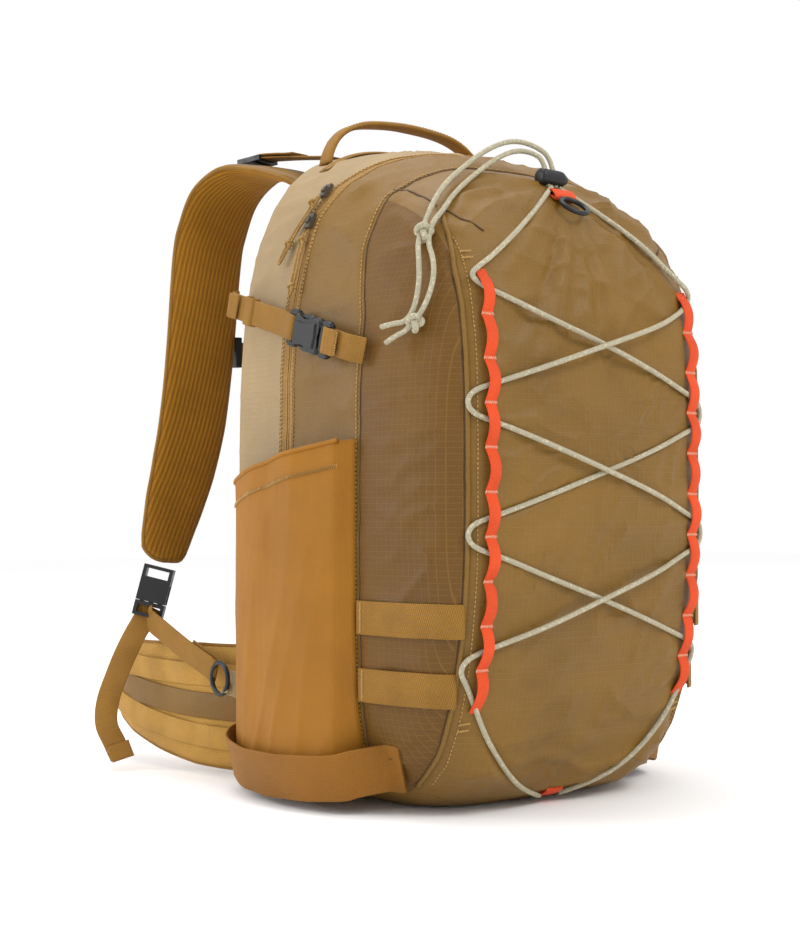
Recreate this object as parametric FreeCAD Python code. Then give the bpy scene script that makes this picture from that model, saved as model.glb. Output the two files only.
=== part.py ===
"""Fishing tackle backpack: a zipped, framed daypack with shoulder harness, hip belt and laced front.

Millimetres. +Z is up, +Y is the wearer's side, -Y is the outer face. The origin is the middle of the base.
"""
import FreeCAD, Part
import math
import os

from FreeCAD import Vector as V

os.makedirs("parts", exist_ok=True)

# ---- driving dimensions ----------------------------------------------------
WALL = 3.0             # padded fabric wall
MID_Z = 250.0          # height where the bag is widest
BACK_Y = 148.0         # plane of the back panel
GAP = 0.6              # clearance between the hinged front and the rear
# One hoop of the bag at each depth: y, half width, top, bottom, top exponent, bottom exponent
HOOPS = [
    (148, 155, 537, -3, 3.0, 5.0),
    (115, 157, 533, -3, 3.0, 6.0),
    (78, 158, 528, -3, 3.0, 6.0),
    (30, 156, 518, -3, 3.1, 6.0),
    (-16, 150, 504, -3, 3.2, 5.5),
    (-50, 145, 486, 4, 3.4, 5.0),
    (-75, 139, 466, 20, 3.6, 4.4),
    (-90, 133, 448, 46, 3.7, 4.0),
    (-100, 126, 431, 78, 3.7, 3.8),
    (-108, 115, 411, 118, 3.6, 3.6),
    (-114, 97, 387, 160, 3.4, 3.4),
    (-119, 68, 347, 208, 3.2, 3.2),
    (-122, 40, 318, 235, 3.0, 3.0),
]
ZIP_LINE = [(72, -50), (72, 462), (60, 486), (36, 504), (6, 516), (6, 700)]    # y, z
SEAM_LINE = [(-17, -50), (-17, 370), (-6, 425), (-6, 468), (-30, 487), (-46, 496), (-46, 700)]
FLOOR_SEAM_Z = 15.0    # seam of the base panel
FOLD_Y = -50.0         # the front opens on a fold in its lower edge
PIPING_X = 117.0       # piping between the gusset and the front panel
DAISY_X = 103.0        # webbing chains on the front
DAISY_TOP, DAISY_LOW = 394.0, 84.0
DAISY_PITCH = 32.0     # between bar tacks
DAISY_W, WEB_T = 10.0, 1.4
CORD_D = 4.0           # elastic lacing cord
PULL_D = 2.2           # cord of the zip pulls
SIDE_WEB_W = 20.0      # compression, shoulder and chest webbing
LASH_W = 25.0          # lash loops and hip webbing
PAD_T = 11.0           # shoulder pad thickness
WING_T = 12.0          # hip wing thickness

# ---- helpers ----------------------------------------------------------------
def save(name, *solids):
    """Writes one node; several solids make a group."""
    shape = solids[0] if len(solids) == 1 else Part.makeCompound(list(solids))
    shape.exportStep("parts/%s.step" % name)
    print("%-24s %8.1f cm3 valid=%s solids=%d" % (
        name, shape.Volume / 1000, shape.isValid(), len(shape.Solids)))
    return shape


def mirrored(shape):
    return shape.mirror(V(0, 0, 0), V(1, 0, 0))


def hoop_point(row, turn, inset):
    """A point of one hoop at an angle, moved inward by inset."""
    y, half, top, low, n_top, n_low = row
    c, s = math.cos(turn), math.sin(turn)
    n = n_top if s >= 0 else n_low
    height = (top - MID_Z if s >= 0 else MID_Z - low) - inset
    x = (half - inset) * math.copysign(abs(c) ** (2 / n), c)
    return V(x, y, MID_Z + height * math.copysign(abs(s) ** (2 / n), s))


def hoop_wire(row, inset, count=44):
    points = [hoop_point(row, 2 * math.pi * i / count, inset) for i in range(count)]
    curve = Part.BSplineCurve()
    curve.interpolate(points, PeriodicFlag=True)
    return Part.Wire([curve.toShape()])


def bag_solid(inset):
    """The bag's outer or inner form, from the back plane to the front face."""
    front_row = HOOPS[-1]
    rows = HOOPS[:-1] + [(front_row[0] + inset,) + front_row[1:]]
    return Part.makeLoft([hoop_wire(row, inset) for row in rows], True, False)


def profile_prism(points, half=260.0):
    """A y, z outline extruded across the bag."""
    wire = Part.makePolygon([V(-half, y, z) for y, z in points + points[:1]])
    return Part.Face(wire).extrude(V(2 * half, 0, 0))


def box(x0, x1, y0, y1, z0, z1):
    return Part.makeBox(x1 - x0, y1 - y0, z1 - z0, V(x0, y0, z0))


def hoop_at(y):
    """The hoop's figures at any depth."""
    y = max(HOOPS[-1][0], min(HOOPS[0][0], y))
    for near, far in zip(HOOPS, HOOPS[1:]):
        if far[0] <= y <= near[0]:
            share = (near[0] - y) / (near[0] - far[0])
            return [a + (b - a) * share for a, b in zip(near, far)]


def inside(x, y, z):
    _, half, top, low, n_top, n_low = hoop_at(y)
    n, height = (n_top, top - MID_Z) if z >= MID_Z else (n_low, MID_Z - low)
    return (abs(x) / half) ** n + (abs(z - MID_Z) / height) ** n < 1


def front_y(x, z):
    """Depth of the outer face in front of a point of the front."""
    low, high = HOOPS[-1][0], HOOPS[0][0]
    if inside(x, low, z):
        return low
    for _ in range(40):
        middle = (low + high) / 2
        low, high = (low, middle) if inside(x, middle, z) else (middle, high)
    return high


def side_x(y, z):
    """Half width of the bag at a depth and height."""
    _, half, top, low, n_top, n_low = hoop_at(y)
    n, height = (n_top, top - MID_Z) if z >= MID_Z else (n_low, MID_Z - low)
    return half * max(0.0, 1 - (abs(z - MID_Z) / height) ** n) ** (1 / n)


def ribbon(stations):
    """A flat strap through (centre, width vector, thickness vector) stations."""
    wires = []
    for centre, wide, thick in stations:
        corners = [centre + wide * a + thick * b
                   for a, b in ((-.5, -.5), (.5, -.5), (.5, .5), (-.5, .5))]
        wires.append(Part.makePolygon(corners + corners[:1]))
    return Part.makeLoft(wires, True, True)


def strip(points, width, thick, across=V(0, 0, 1)):
    """A strap of constant width along points; across is the direction of its width."""
    stations = []
    for i, p in enumerate(points):
        before, after = points[max(0, i - 1)], points[min(len(points) - 1, i + 1)]
        along = (after - before).normalize()
        wide = (across - along * across.dot(along)).normalize()
        stations.append((p, wide * width, along.cross(wide).normalize() * thick))
    return ribbon(stations)


def tube(points, diameter):
    """A cord: straight runs joined by tangent arcs, the arcs as large as the runs allow."""
    edges, start, radii = [], points[0], []
    for before, corner, after in zip(points, points[1:], points[2:]):
        into, out = corner - before, after - corner
        turn = into.getAngle(out)
        reach = 0.45 * min(into.Length, out.Length)
        a = corner - V(into).normalize() * reach
        b = corner + V(out).normalize() * reach
        radii.append(reach / math.tan(turn / 2))
        bisector = (V(out).normalize() - V(into).normalize()).normalize()
        depth = radii[-1] / math.cos(turn / 2) - radii[-1]
        edges += [Part.LineSegment(start, a).toShape(),
                  Part.Arc(a, corner + bisector * depth, b).toShape()]
        start = b
    edges.append(Part.LineSegment(start, points[-1]).toShape())
    path = Part.Wire(edges)
    along = (points[1] - points[0]).normalize()
    ring = Part.Wire([Part.makeCircle(diameter / 2, points[0], along)])
    solid = path.makePipeShell([ring], True, False)
    volume = math.pi * diameter ** 2 / 4 * path.Length
    print("  cord %.0f mm, volume share %.4f, least radius %.1f, radii %s" % (
        path.Length, solid.Volume / volume, min(radii), [round(r) for r in radii]))
    return solid


# ---- the bag ----------------------------------------------------------------
def build_bag():
    """Rear band, middle band, front panel, gussets, zip tapes and base, cut from one padded wall."""
    outer, inner = bag_solid(0.0).common(box(-200, 200, -200, BACK_Y, 0, 600)), bag_solid(WALL)
    inner = inner.common(box(-200, 200, -200, BACK_Y, WALL, 600))
    shell = outer.cut(inner.fuse(box(-152, 152, BACK_Y - 4, BACK_Y + 1, WALL, 532)))
    above = shell.cut(box(-260, 260, FOLD_Y - 1, 200, -5, FLOOR_SEAM_Z + GAP))
    rear = above.common(behind(shifted(ZIP_LINE, GAP / 2)))
    front = above.cut(behind(shifted(ZIP_LINE, -GAP / 2)))
    tape = 7.0
    save("rear_zip_tape", rear.cut(behind(shifted(ZIP_LINE, tape))))
    save("rear_band", rear.common(behind(shifted(ZIP_LINE, tape))))
    save("front_zip_tape", front.common(behind(shifted(ZIP_LINE, -tape))))
    front = front.cut(behind(shifted(ZIP_LINE, -tape)))
    save("mid_band", front.common(behind(SEAM_LINE)))
    face = front.cut(behind(SEAM_LINE))
    save("front_panel", face.common(box(-PIPING_X, PIPING_X, -200, 100, -5, 700)))
    left = face.common(box(-260, -PIPING_X, -200, 100, -5, 700))
    save("gusset_left", left)
    save("gusset_right", mirrored(left))
    save("base_panel", shell.common(box(-260, 260, FOLD_Y + 6, 200, -5, FLOOR_SEAM_Z)))


def shifted(line, shift):
    return [(y + shift, z) for y, z in line]


def behind(line):
    return profile_prism(line + [(300, 700), (300, -50)])


def build_back():
    """Foam back panel, lumbar pad and what is sewn inside the bag."""
    outline = hoop_wire((BACK_Y,) + HOOPS[0][1:], 6.0)
    pad = Part.Face(outline).extrude(V(0, 12, 0))
    save("back_panel", pad.common(box(-260, 260, 0, 400, 16, 525)))
    save("frame_sheet", box(-118, 118, 142.0, 143.6, 40, 470))
    save("hydration_sleeve", box(-105, 105, 139.0, 140.4, 60, 400))
    save("organizer_pocket", box(-78, 78, -105.0, -103.7, 190, 330))
    lumbar = box(-105, 105, BACK_Y + 12.3, BACK_Y + 26, 24, 116)
    save("lumbar_pad", lumbar.makeFillet(5.5, lumbar.Edges))
    save("back_zip", strip([V(x, 112, top_z(x, 112) + 2.6) for x in range(-96, 97, 16)],
                           12.0, 1.6, V(0, 1, 0)))


def top_z(x, y):
    """Height of the bag's top over a point."""
    _, half, top, _, n, _ = hoop_at(y)
    return MID_Z + (top - MID_Z) * (1 - (abs(x) / half) ** n) ** (1 / n)


# ---- sides ------------------------------------------------------------------
def pocket_shape():
    """Stretch bottle pocket: a bowed wall with a floor, open at the top."""
    y_front, y_rear, x_edge, z_low = -14.0, 146.0, -160.0, 22.0

    def bow(inset):
        ends = V(x_edge, y_rear - inset, 0), V(x_edge, y_front + inset, 0)
        middle = V(x_edge - 21 + inset, (y_front + y_rear) / 2, 0)
        return [Part.Arc(ends[0], middle, ends[1]).toShape(),
                Part.LineSegment(ends[1], ends[0]).toShape()]
    outer = Part.Face(Part.Wire(bow(0))).extrude(V(0, 0, 300))
    inner = Part.Face(Part.Wire(bow(2))).extrude(V(0, 0, 300))
    inner.translate(V(0, 0, 2))
    wall = outer.cut(inner)
    wall.translate(V(0, 0, z_low))
    rim = profile_prism([(200, 236), (-60, 289), (-60, 400), (200, 400)])
    return wall.cut(rim)


def band_shape():
    """Wide elastic sling round the foot of the bottle pocket."""
    points = [V(-161.5, -24, 30), V(-170, -10, 26), V(-181, 22, 23), V(-185, 62, 22),
              V(-182, 100, 23), V(-173, 132, 27), V(-163.0, 152, 31)]
    return strip(points, 36.0, 1.6, V(0, 0, 1))


def buckle_socket(length, width, thick):
    """Socket half of a side-release buckle, mouth towards +x, its flanks open for the prongs."""
    wall, rear = 1.5, 15.0
    body = box(0, length, -width / 2, width / 2, -thick / 2, thick / 2)
    slot = box(3.0, 10.5, -width / 2 + 3.2, width / 2 - 3.2, -thick, thick)
    hollow = box(rear, length + 1, -width, width, -thick / 2 + wall, thick / 2 - wall)
    return body.cut(slot).cut(hollow)


def buckle_plug(width, thick, reach):
    """Plug half: two side prongs, a guide tongue and a webbing bar, prongs towards -x."""
    slim = thick - 4.6
    bar = box(0, 13, -width / 2, width / 2, -thick / 2 + 0.2, thick / 2 - 0.2)
    bar = bar.cut(box(3.4, 10, -width / 2 + 3.2, width / 2 - 3.2, -thick, thick))
    tongue = box(-reach * 0.8, 0.2, -2, 2, -slim / 2, slim / 2)
    prong = box(-reach, 0.2, width / 2 - 7.2, width / 2 - 3.4, -slim / 2, slim / 2)
    return bar.fuse([tongue, prong, prong.mirror(V(0, 0, 0), V(0, 1, 0))]).removeSplitter()


def oriented(shape, at, along, across):
    """Places a shape built with x along, y across and z through its thickness."""
    along = V(along).normalize()
    across = (across - along * across.dot(along)).normalize()
    through = along.cross(across)
    return shape.transformed(FreeCAD.Matrix(
        along.x, across.x, through.x, at.x, along.y, across.y, through.y, at.y,
        along.z, across.z, through.z, at.z, 0, 0, 0, 1))


def build_sides():
    """Bottle pockets and the compression straps across the sides."""
    pocket, band = pocket_shape(), band_shape()
    start = V(-163.2, 143, 396)
    along = (V(-163.2, -24, 345) - start).normalize()
    socket_at, socket_length = 88.0, 47.0
    web = strip([start, start + along * socket_at], SIDE_WEB_W, WEB_T)
    keeper_at = start + along * 26
    keeper = strip([keeper_at, keeper_at + along * 11], SIDE_WEB_W + 5, 4.6)
    keeper = keeper.cut(strip([keeper_at - along, keeper_at + along * 12],
                              SIDE_WEB_W + 1.2, WEB_T + 0.6))
    socket = oriented(buckle_socket(socket_length, 29.0, 9.4),
                      start + along * (socket_at + 0.3), along, V(0, along.z, -along.y))
    plug_at = start + along * (socket_at + socket_length + 0.9)
    plug = oriented(buckle_plug(29.0, 9.4, 28.0), plug_at, along, V(0, along.z, -along.y))
    tab = strip([plug_at + along * 14.0, V(-158.5, -21, 343)], SIDE_WEB_W, WEB_T)
    save("bottle_pocket_left", pocket)
    save("bottle_pocket_right", mirrored(pocket))
    for name, piece in [("pocket_bands", band), ("side_webs", web), ("side_keepers", keeper),
                        ("side_sockets", socket), ("side_plugs", plug), ("side_tabs", tab)]:
        save(name, piece, mirrored(piece))


# ---- front ------------------------------------------------------------------
LACE_LEFT = [(-4, -69.3, 477.2), (-50, -97.9, 444.7), (-94, -106.3, 410.2), (-107, -107, 402),
    (-113, -103, 395), (-103, -106.4, 387), (-90, -114, 381), (-55, -122, 367), (0, -125.4, 350),
    (55, -123, 332), (90, -117.4, 320), (103.1, -114.5, 316), (116, -110, 311), (120, -108, 303),
    (116.1, -110.1, 295), (103, -114.6, 290), (90, -118.3, 286), (55.3, -123.7, 273),
    (0.1, -125.7, 255), (-55.1, -123.8, 237), (-90, -118.1, 225.1), (-103, -114.7, 221),
    (-116.1, -110.1, 216), (-120, -107.9, 208), (-116, -110, 200), (-103.1, -114, 195),
    (-90.2, -116.6, 191), (-55, -119.2, 178), (0, -119.4, 160), (55, -116, 141),
    (90, -109.4, 129), (103, -106.2, 125), (116, -102, 119), (119, -98.6, 110), (112, -98.6, 99),
    (104.1, -97.2, 83.9), (90.2, -93.9, 59.4), (64.2, -85.8, 31.7), (35.1, -72, 13),
    (10, -60.1, 5.8)]
TAIL_OUTER = [(4, -65.6, 477.6), (4, -61.8, 501.5), (-8, -55, 512), (-27, -49, 515),
    (-50, -46, 505), (-79.5, -52.1, 485.3), (-102.5, -59.4, 468.7), (-116.4, -63.6, 452.2),
    (-123.8, -65.3, 438.6)]
TAIL_INNER = [(-4, -65.6, 477.6), (-4, -62.1, 499), (-13, -56, 506), (-28, -52, 506),
    (-47, -50, 496), (-75.5, -57.1, 477.3), (-98.5, -65.4, 460.7), (-112.4, -70.6, 446.2),
    (-122.3, -71.3, 436.6)]
TAIL_LOWER_A = [(-132.3, -66.8, 422.6), (-137.4, -74.6, 409.1), (-139.5, -78.4, 390.6),
    (-142.6, -76.2, 370.1)]
TAIL_LOWER_B = [(-127.3, -71.8, 421.6), (-131.4, -84.6, 407.1), (-133.5, -87.4, 390.6),
    (-138.6, -82.2, 370.1)]
TAIL_END_A = [(-147.6, -71.2, 361.1), (-151.6, -62.2, 361.1), (-154.6, -52.2, 359.1)]
TAIL_END_B = [(-146.6, -72.2, 355.1), (-150.6, -64.2, 352.1), (-153.6, -56.2, 347.1)]
KNOTS = [((-127.3, -67.8, 429.6), 7.9), ((-142.6, -77.2, 361.1), 7.3)]


def points(route):
    return [V(*p) for p in route]


def opposite(route):
    """The same route on the other side, lifted over its twin where they cross."""
    lift = 4.4
    return [V(-x, y - (lift if abs(x) < 60 and 100 < z < 400 else 0), z) for x, y, z in route]


def daisy_shape():
    """Webbing chain held off the front by bar tacks, so that cord runs under it."""
    stand = 7.6
    heights = [DAISY_LOW + (DAISY_TOP - DAISY_LOW) * i / 14 for i in range(15)]
    chain = strip([V(-DAISY_X, front_y(DAISY_X, z) - stand, z) for z in heights],
                  DAISY_W, WEB_T, V(1, 0, 0))
    tacks, z = [], DAISY_TOP - 27
    while z > DAISY_LOW:
        y = front_y(DAISY_X, z)
        tacks.append(box(-DAISY_X - DAISY_W / 2, -DAISY_X + DAISY_W / 2, y - stand - 0.4, y - 2.2,
                         z - 1, z + 1))
        z -= DAISY_PITCH
    return chain.fuse(tacks).removeSplitter()


def lash_shape(z):
    """A lash loop lying on the gusset from the side seam to the piping."""
    stations = [SEAM_LINE[0][0] - 2 - i * 7.0 for i in range(12)]
    line = [V(-side_x(y, z) - 4.8, y, z) for y in stations if side_x(y, z) > PIPING_X + 1]
    return strip(line, LASH_W, WEB_T)


def knot(centre, radius):
    """A rounded knot, a little taller than wide."""
    ball = Part.makeSphere(radius)
    stretch = FreeCAD.Matrix(0.85, 0, 0, centre[0], 0, 0.85, 0, centre[1],
                             0, 0, 1.1, centre[2], 0, 0, 0, 1)
    return ball.transformGeometry(stretch)


def build_front():
    """Chains, lash loops, elastic lacing, and the cord lock with its anchor and hook."""
    chain = daisy_shape()
    save("daisy_left", chain)
    save("daisy_right", mirrored(chain))
    loops = [lash_shape(z) for z in (96.5, 146.5)]
    save("lash_loops", *(loops + [mirrored(s) for s in loops]))
    save("lace_left", tube(points(LACE_LEFT), CORD_D))
    save("lace_right", tube(opposite(LACE_LEFT), CORD_D))
    save("tail_cords", *[tube(points(route), CORD_D) for route in (
        TAIL_OUTER, TAIL_INNER, TAIL_LOWER_A, TAIL_LOWER_B, TAIL_END_A, TAIL_END_B)])
    save("tail_knots", *[knot(centre, radius) for centre, radius in KNOTS])
    lock_at, lock_r = V(0, -64, 485.6), 6.6
    barrel = Part.makeCylinder(lock_r, 24, lock_at + V(-12, 0, 0), V(1, 0, 0))
    bore = Part.makeCylinder(4.3, 8, lock_at + V(5.6, 0, 0), V(1, 0, 0))
    for x in (-4, 4):
        top, low = V(x, -63, 493.4), V(x, -66, 474)
        barrel = barrel.cut(Part.makeCylinder(2.5, 21, low, top - low))
    save("cord_lock", barrel.cut(bore))
    button = Part.makeCylinder(4.0, 6, lock_at + V(9.4, 0, 0), V(1, 0, 0))
    save("cord_lock_button", button)
    save("anchor_tab", strip([V(0, -75.5, 473.6), V(0, -80.5, 469.5)], 22.0, 1.4, V(1, 0, 0)))
    ring = Part.makeTorus(11, 1.9)
    save("hook_ring", oriented(ring, V(0, -91, 459.5), V(1, 0, 0), V(0, -0.78, -0.62)))
    save("base_tab", strip([V(0, -57, 4.6), V(0, -66, 9.6)], 15.0, 1.4, V(1, 0, 0)))


# ---- zips and haul loop -----------------------------------------------------
PULL_A = [(-126, 72, 478.8), (-130.6, 77, 468.6), (-140, 83.8, 451.4), (-147, 88, 436), (-151, 93, 424)]
PULL_B = [(-139, 72, 448), (-144.5, 70, 437), (-150, 67, 424), (-154, 65, 410), (-157.5, 67, 395)]
PULL_KNOTS = [[((-129.4, 76.2, 473.2), 4.1), ((-144.8, 87, 440), 4.2)],
              [((-142.8, 71, 441), 4.2), ((-155.5, 66, 402), 4.2)]]


def build_top():
    """Sliders with knotted cord pulls, and the haul loop."""
    for name, z, down, cord, knots in (
            ("a", 484, V(-0.603, 0, -0.797), PULL_A, PULL_KNOTS[0]),
            ("b", 458, V(-0.421, 0, -0.907), PULL_B, PULL_KNOTS[1])):
        plate = box(-6, 7, -4, 4, -1.6, 1.6).fuse(box(-2, 3, -2.2, 2.2, -3.4, -1.5))
        at = V(-side_x(72, z) - 3.7, 72, z)
        save("zip_slider_" + name, oriented(plate, at, down, V(0, 1, 0)))
        strand = points(cord)
        twin = [p + V(0, 3.0, 0.6) for p in strand]
        ties = [knot(V(*c) + V(0, 1.5, 0.3), r) for c, r in knots]
        save("zip_pull_" + name, tube(strand, PULL_D), tube(twin, PULL_D), *ties)
    arch = [V(x, 127, z) for x, z in ((-80, 529), (-74, 543), (-62, 553), (-40, 560), (0, 563))]
    arch += [V(-p.x, p.y, p.z) for p in arch[-2::-1]]
    save("haul_loop", strip(arch, 18.0, 4.5, V(0, 1, 0)))


# ---- harness ----------------------------------------------------------------
# Shoulder pad: centre x, y, z and width
PAD = [(-63, 173, 511, 40), (-66, 190, 520, 54), (-74, 222, 530, 62), (-84, 255, 532, 66),
       (-91, 284, 516, 68), (-97, 297, 486, 68), (-102, 299, 455, 68), (-112, 293, 372, 66),
       (-122, 288, 310, 64), (-134, 284, 264, 60), (-145, 281, 231, 54), (-156, 277, 198, 44),
       (-161, 273, 182, 34)]
# Hip wing: centre x, y, z and height
WING = [(-116, 164, 58, 100), (-134, 188, 58, 104), (-149, 225, 59, 102), (-158, 270, 62, 94),
        (-162, 315, 67, 82), (-161, 352, 74, 64)]
TAIL = [(-175, 279, 131), (-186, 281, 112), (-198, 283, 86), (-208, 283, 60), (-210, 282, 40),
        (-204, 279, 24), (-198, 277, 10)]


def tapered(stations, thick, across):
    """A pad of changing width."""
    centres = [V(*s[:3]) for s in stations]
    rows = []
    for i, centre in enumerate(centres):
        along = (centres[min(i + 1, len(centres) - 1)] - centres[max(i - 1, 0)]).normalize()
        wide = (across - along * across.dot(along)).normalize()
        rows.append((centre, wide * stations[i][3], along.cross(wide).normalize() * thick))
    return ribbon(rows)


def shoulder_parts():
    """The left shoulder strap from its pad down to the ring at the corner of the bag."""
    yield "shoulder_pad", [tapered(PAD, PAD_T, V(1, 0, 0))]
    lifter = strip([V(-62, 170, 535), V(-66, 202, 541.5), V(-76, 232, 544.5)],
                   SIDE_WEB_W, WEB_T, V(1, 0, 0))
    lower = strip([V(-173.5, 271, 130), V(-172, 250, 121), V(-168, 214, 106), V(-163.5, 184, 95)],
                  SIDE_WEB_W, WEB_T)
    tail = strip(points(TAIL), SIDE_WEB_W, WEB_T, V(0.77, -0.64, 0))
    yield "strap_webs", [lifter, lower, tail]
    lock = box(-1, 25, -13, 13, -2.2, 2.2).cut(box(4, 9, -10, 10, -4, 4))
    lock = oriented(lock, V(-76.5, 233.5, 544.2), V(-0.3, 0.95, -0.06), V(1, 0, 0))
    down = V(-0.225, 0.10, -0.965).normalize()
    face = V(0.77, -0.64, 0)
    top = V(-163, 272.6, 176)
    socket = oriented(buckle_socket(32, 27.0, 9.0), top, down, face)
    plug = oriented(buckle_plug(27.0, 9.0, 14.0), top + down * 32.6, down, face)
    yield "strap_clips", [lock, socket, plug]
    yield "d_ring", [oriented(Part.makeTorus(13.0, 2.0), V(-162, 168, 86),
                              V(0, 0.8, 0.6), V(0, -0.6, 0.8))]


def chest_parts():
    """Left half of the unclipped chest strap: slider and webbing."""
    yield "chest_slider", [box(-75.6, -70.0, 289, 297, 360, 388)]
    yield "chest_web", [strip([V(-69.6, 293, 374), V(-50, 294.5, 373), V(-35.2, 295, 372)],
                              SIDE_WEB_W, WEB_T)]


def hip_parts():
    """Left hip wing and its webbing, unclipped."""
    yield "hip_wing", [tapered(WING, WING_T, V(0, 0, 1))]
    web = strip([V(-161.6, 356.4, 76), V(-157, 365.5, 75), V(-147, 375, 74), V(-134, 381, 73)],
                LASH_W, WEB_T)
    rows = [strip([V(*s[:3]) + V(-8.4, 0, lift) for s in WING[1:]], 18.0, WEB_T)
            for lift in (-26, 27)]
    yield "hip_webs", [web] + rows


def build_harness():
    """Shoulder straps, hip wings, and the clip halves that differ from side to side."""
    for maker in (shoulder_parts, chest_parts, hip_parts):
        for name, solids in maker():
            save(name + "_left", *solids)
            save(name + "_right", *[mirrored(s) for s in solids])
    side, up = V(1, 0, 0), V(0, 0, 1)
    save("chest_socket", oriented(buckle_socket(25, 25.0, 8.0), V(-34.2, 295, 372), side, up))
    save("chest_plug", oriented(buckle_plug(25.0, 8.0, 13.0), V(21.4, 295, 372), side, up))
    inward = V(0.91, 0.38, -0.06)
    save("hip_socket", oriented(buckle_socket(36, 34.0, 10.0), V(-133.6, 381, 73), inward, up))
    away = V(0.91, -0.38, 0.06).normalize()
    save("hip_plug", oriented(buckle_plug(34.0, 10.0, 24.0), V(133.6, 381, 73) - away * 13.2,
                              away, up))
    tab = strip([V(-150.5, 149.2, 80), V(-154, 151.4, 82)], 22.0, 2.0, V(0, 0, 1))
    save("corner_tabs", tab, mirrored(tab))


if __name__ == "__main__":
    build_bag()
    build_back()
    build_sides()
    build_front()
    build_top()
    build_harness()
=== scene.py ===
"""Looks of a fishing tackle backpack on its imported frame: fabric, padding, webbing, cords and light."""
import math

import bmesh
import bpy
import numpy as np
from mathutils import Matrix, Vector, kdtree, noise
from mathutils.bvhtree import BVHTree


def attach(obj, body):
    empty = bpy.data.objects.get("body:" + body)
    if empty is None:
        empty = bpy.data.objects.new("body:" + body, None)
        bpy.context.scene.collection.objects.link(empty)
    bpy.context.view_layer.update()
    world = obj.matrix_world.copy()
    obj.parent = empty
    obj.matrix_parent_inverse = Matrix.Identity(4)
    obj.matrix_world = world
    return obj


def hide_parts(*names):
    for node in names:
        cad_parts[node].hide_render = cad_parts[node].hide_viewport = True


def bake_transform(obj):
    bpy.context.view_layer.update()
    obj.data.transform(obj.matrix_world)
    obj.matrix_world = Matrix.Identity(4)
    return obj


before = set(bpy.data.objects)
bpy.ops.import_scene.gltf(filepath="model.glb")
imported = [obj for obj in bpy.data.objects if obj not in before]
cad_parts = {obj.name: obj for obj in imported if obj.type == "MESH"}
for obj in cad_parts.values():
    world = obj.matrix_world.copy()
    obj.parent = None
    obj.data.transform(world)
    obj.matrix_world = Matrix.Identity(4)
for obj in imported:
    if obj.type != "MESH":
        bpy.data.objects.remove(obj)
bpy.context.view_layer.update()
MM = 0.001
SIDES = (("left", -1), ("right", 1))

# The bag's hoops, in millimetres: depth, half width, top, bottom, top and bottom exponents
HOOPS = [
    (148, 155, 537, -3, 3.0, 5.0), (115, 157, 533, -3, 3.0, 6.0), (78, 158, 528, -3, 3.0, 6.0),
    (30, 156, 518, -3, 3.1, 6.0), (-16, 150, 504, -3, 3.2, 5.5), (-50, 145, 486, 4, 3.4, 5.0),
    (-75, 139, 466, 20, 3.6, 4.4), (-90, 133, 448, 46, 3.7, 4.0), (-100, 126, 431, 78, 3.7, 3.8),
    (-108, 115, 411, 118, 3.6, 3.6), (-114, 97, 387, 160, 3.4, 3.4), (-119, 68, 347, 208, 3.2, 3.2),
    (-122, 40, 318, 235, 3.0, 3.0)]
MID_Z = 250.0
# Side outlines of the main zip and of the seam in front of it, as depth and height
ZIP_LINE = [(72, -50), (72, 462), (60, 486), (36, 504), (6, 516), (6, 700)]
SEAM_LINE = [(-17, -50), (-17, 370), (-6, 425), (-6, 468), (-30, 487), (-46, 496), (-46, 700)]
PIPING_X = 117.0
# Where the side outlines end and the line over the top begins
SHOULDER_X = 112
# Height of the seam round the base, and depth of the fold that the front opens on
FLOOR_SEAM_Z = 15.0
FOLD_Y = -50.0
TAPE_HALF = 7
CLOTH_THICK = 2.4
# Fineness: halvings in a search for a surface, points round a hoop, share of a hoop's step per drawn row
HALVINGS = 30
RING_POINTS = 330
FORM_STEP = 0.11


# The cords' routes, in millimetres; the right lacing is the left one's mirror, over it where they cross
LACE = [
    (-4, -69.3, 477.2), (-50, -97.9, 444.7), (-94, -106.3, 410.2), (-107, -107, 402),
    (-113, -103, 395), (-103, -106.4, 387), (-90, -114, 381), (-55, -122, 367), (0, -125.4, 350),
    (55, -123, 332), (90, -117.4, 320), (103.1, -114.5, 316), (116, -110, 311), (120, -108, 303),
    (116.1, -110.1, 295), (103, -114.6, 290), (90, -118.3, 286), (55.3, -123.7, 273),
    (0.1, -125.7, 255), (-55.1, -123.8, 237), (-90, -118.1, 225.1), (-103, -114.7, 221),
    (-116.1, -110.1, 216), (-120, -107.9, 208), (-116, -110, 200), (-103.1, -114, 195),
    (-90.2, -116.6, 191), (-55, -119.2, 178), (0, -119.4, 160), (55, -116, 141),
    (90, -109.4, 129), (103, -106.2, 125), (116, -102, 119), (119, -98.6, 110), (112, -98.6, 99),
    (104.1, -97.2, 83.9), (90.2, -93.9, 59.4), (64.2, -85.8, 31.7), (35.1, -72, 13), (10, -60.1, 5.8)]
CROSSING_LIFT = 4.4
LACE_RIGHT = [(-x, y - (CROSSING_LIFT if abs(x) < 60 and 100 < z < 400 else 0), z) for x, y, z in LACE]
TAIL_A = [
    (4, -65.6, 477.6), (4, -61.8, 501.5), (-8, -55, 512), (-27, -49, 515), (-50, -46, 505),
    (-79.5, -52.1, 485.3), (-102.5, -59.4, 468.7), (-116.4, -63.6, 452.2), (-123.8, -65.3, 438.6),
    (-132.3, -66.8, 422.6), (-137.4, -74.6, 409.1), (-139.5, -78.4, 390.6), (-142.6, -76.2, 370.1),
    (-147.6, -71.2, 361.1), (-151.6, -62.2, 361.1), (-154.6, -52.2, 359.1)]
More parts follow.
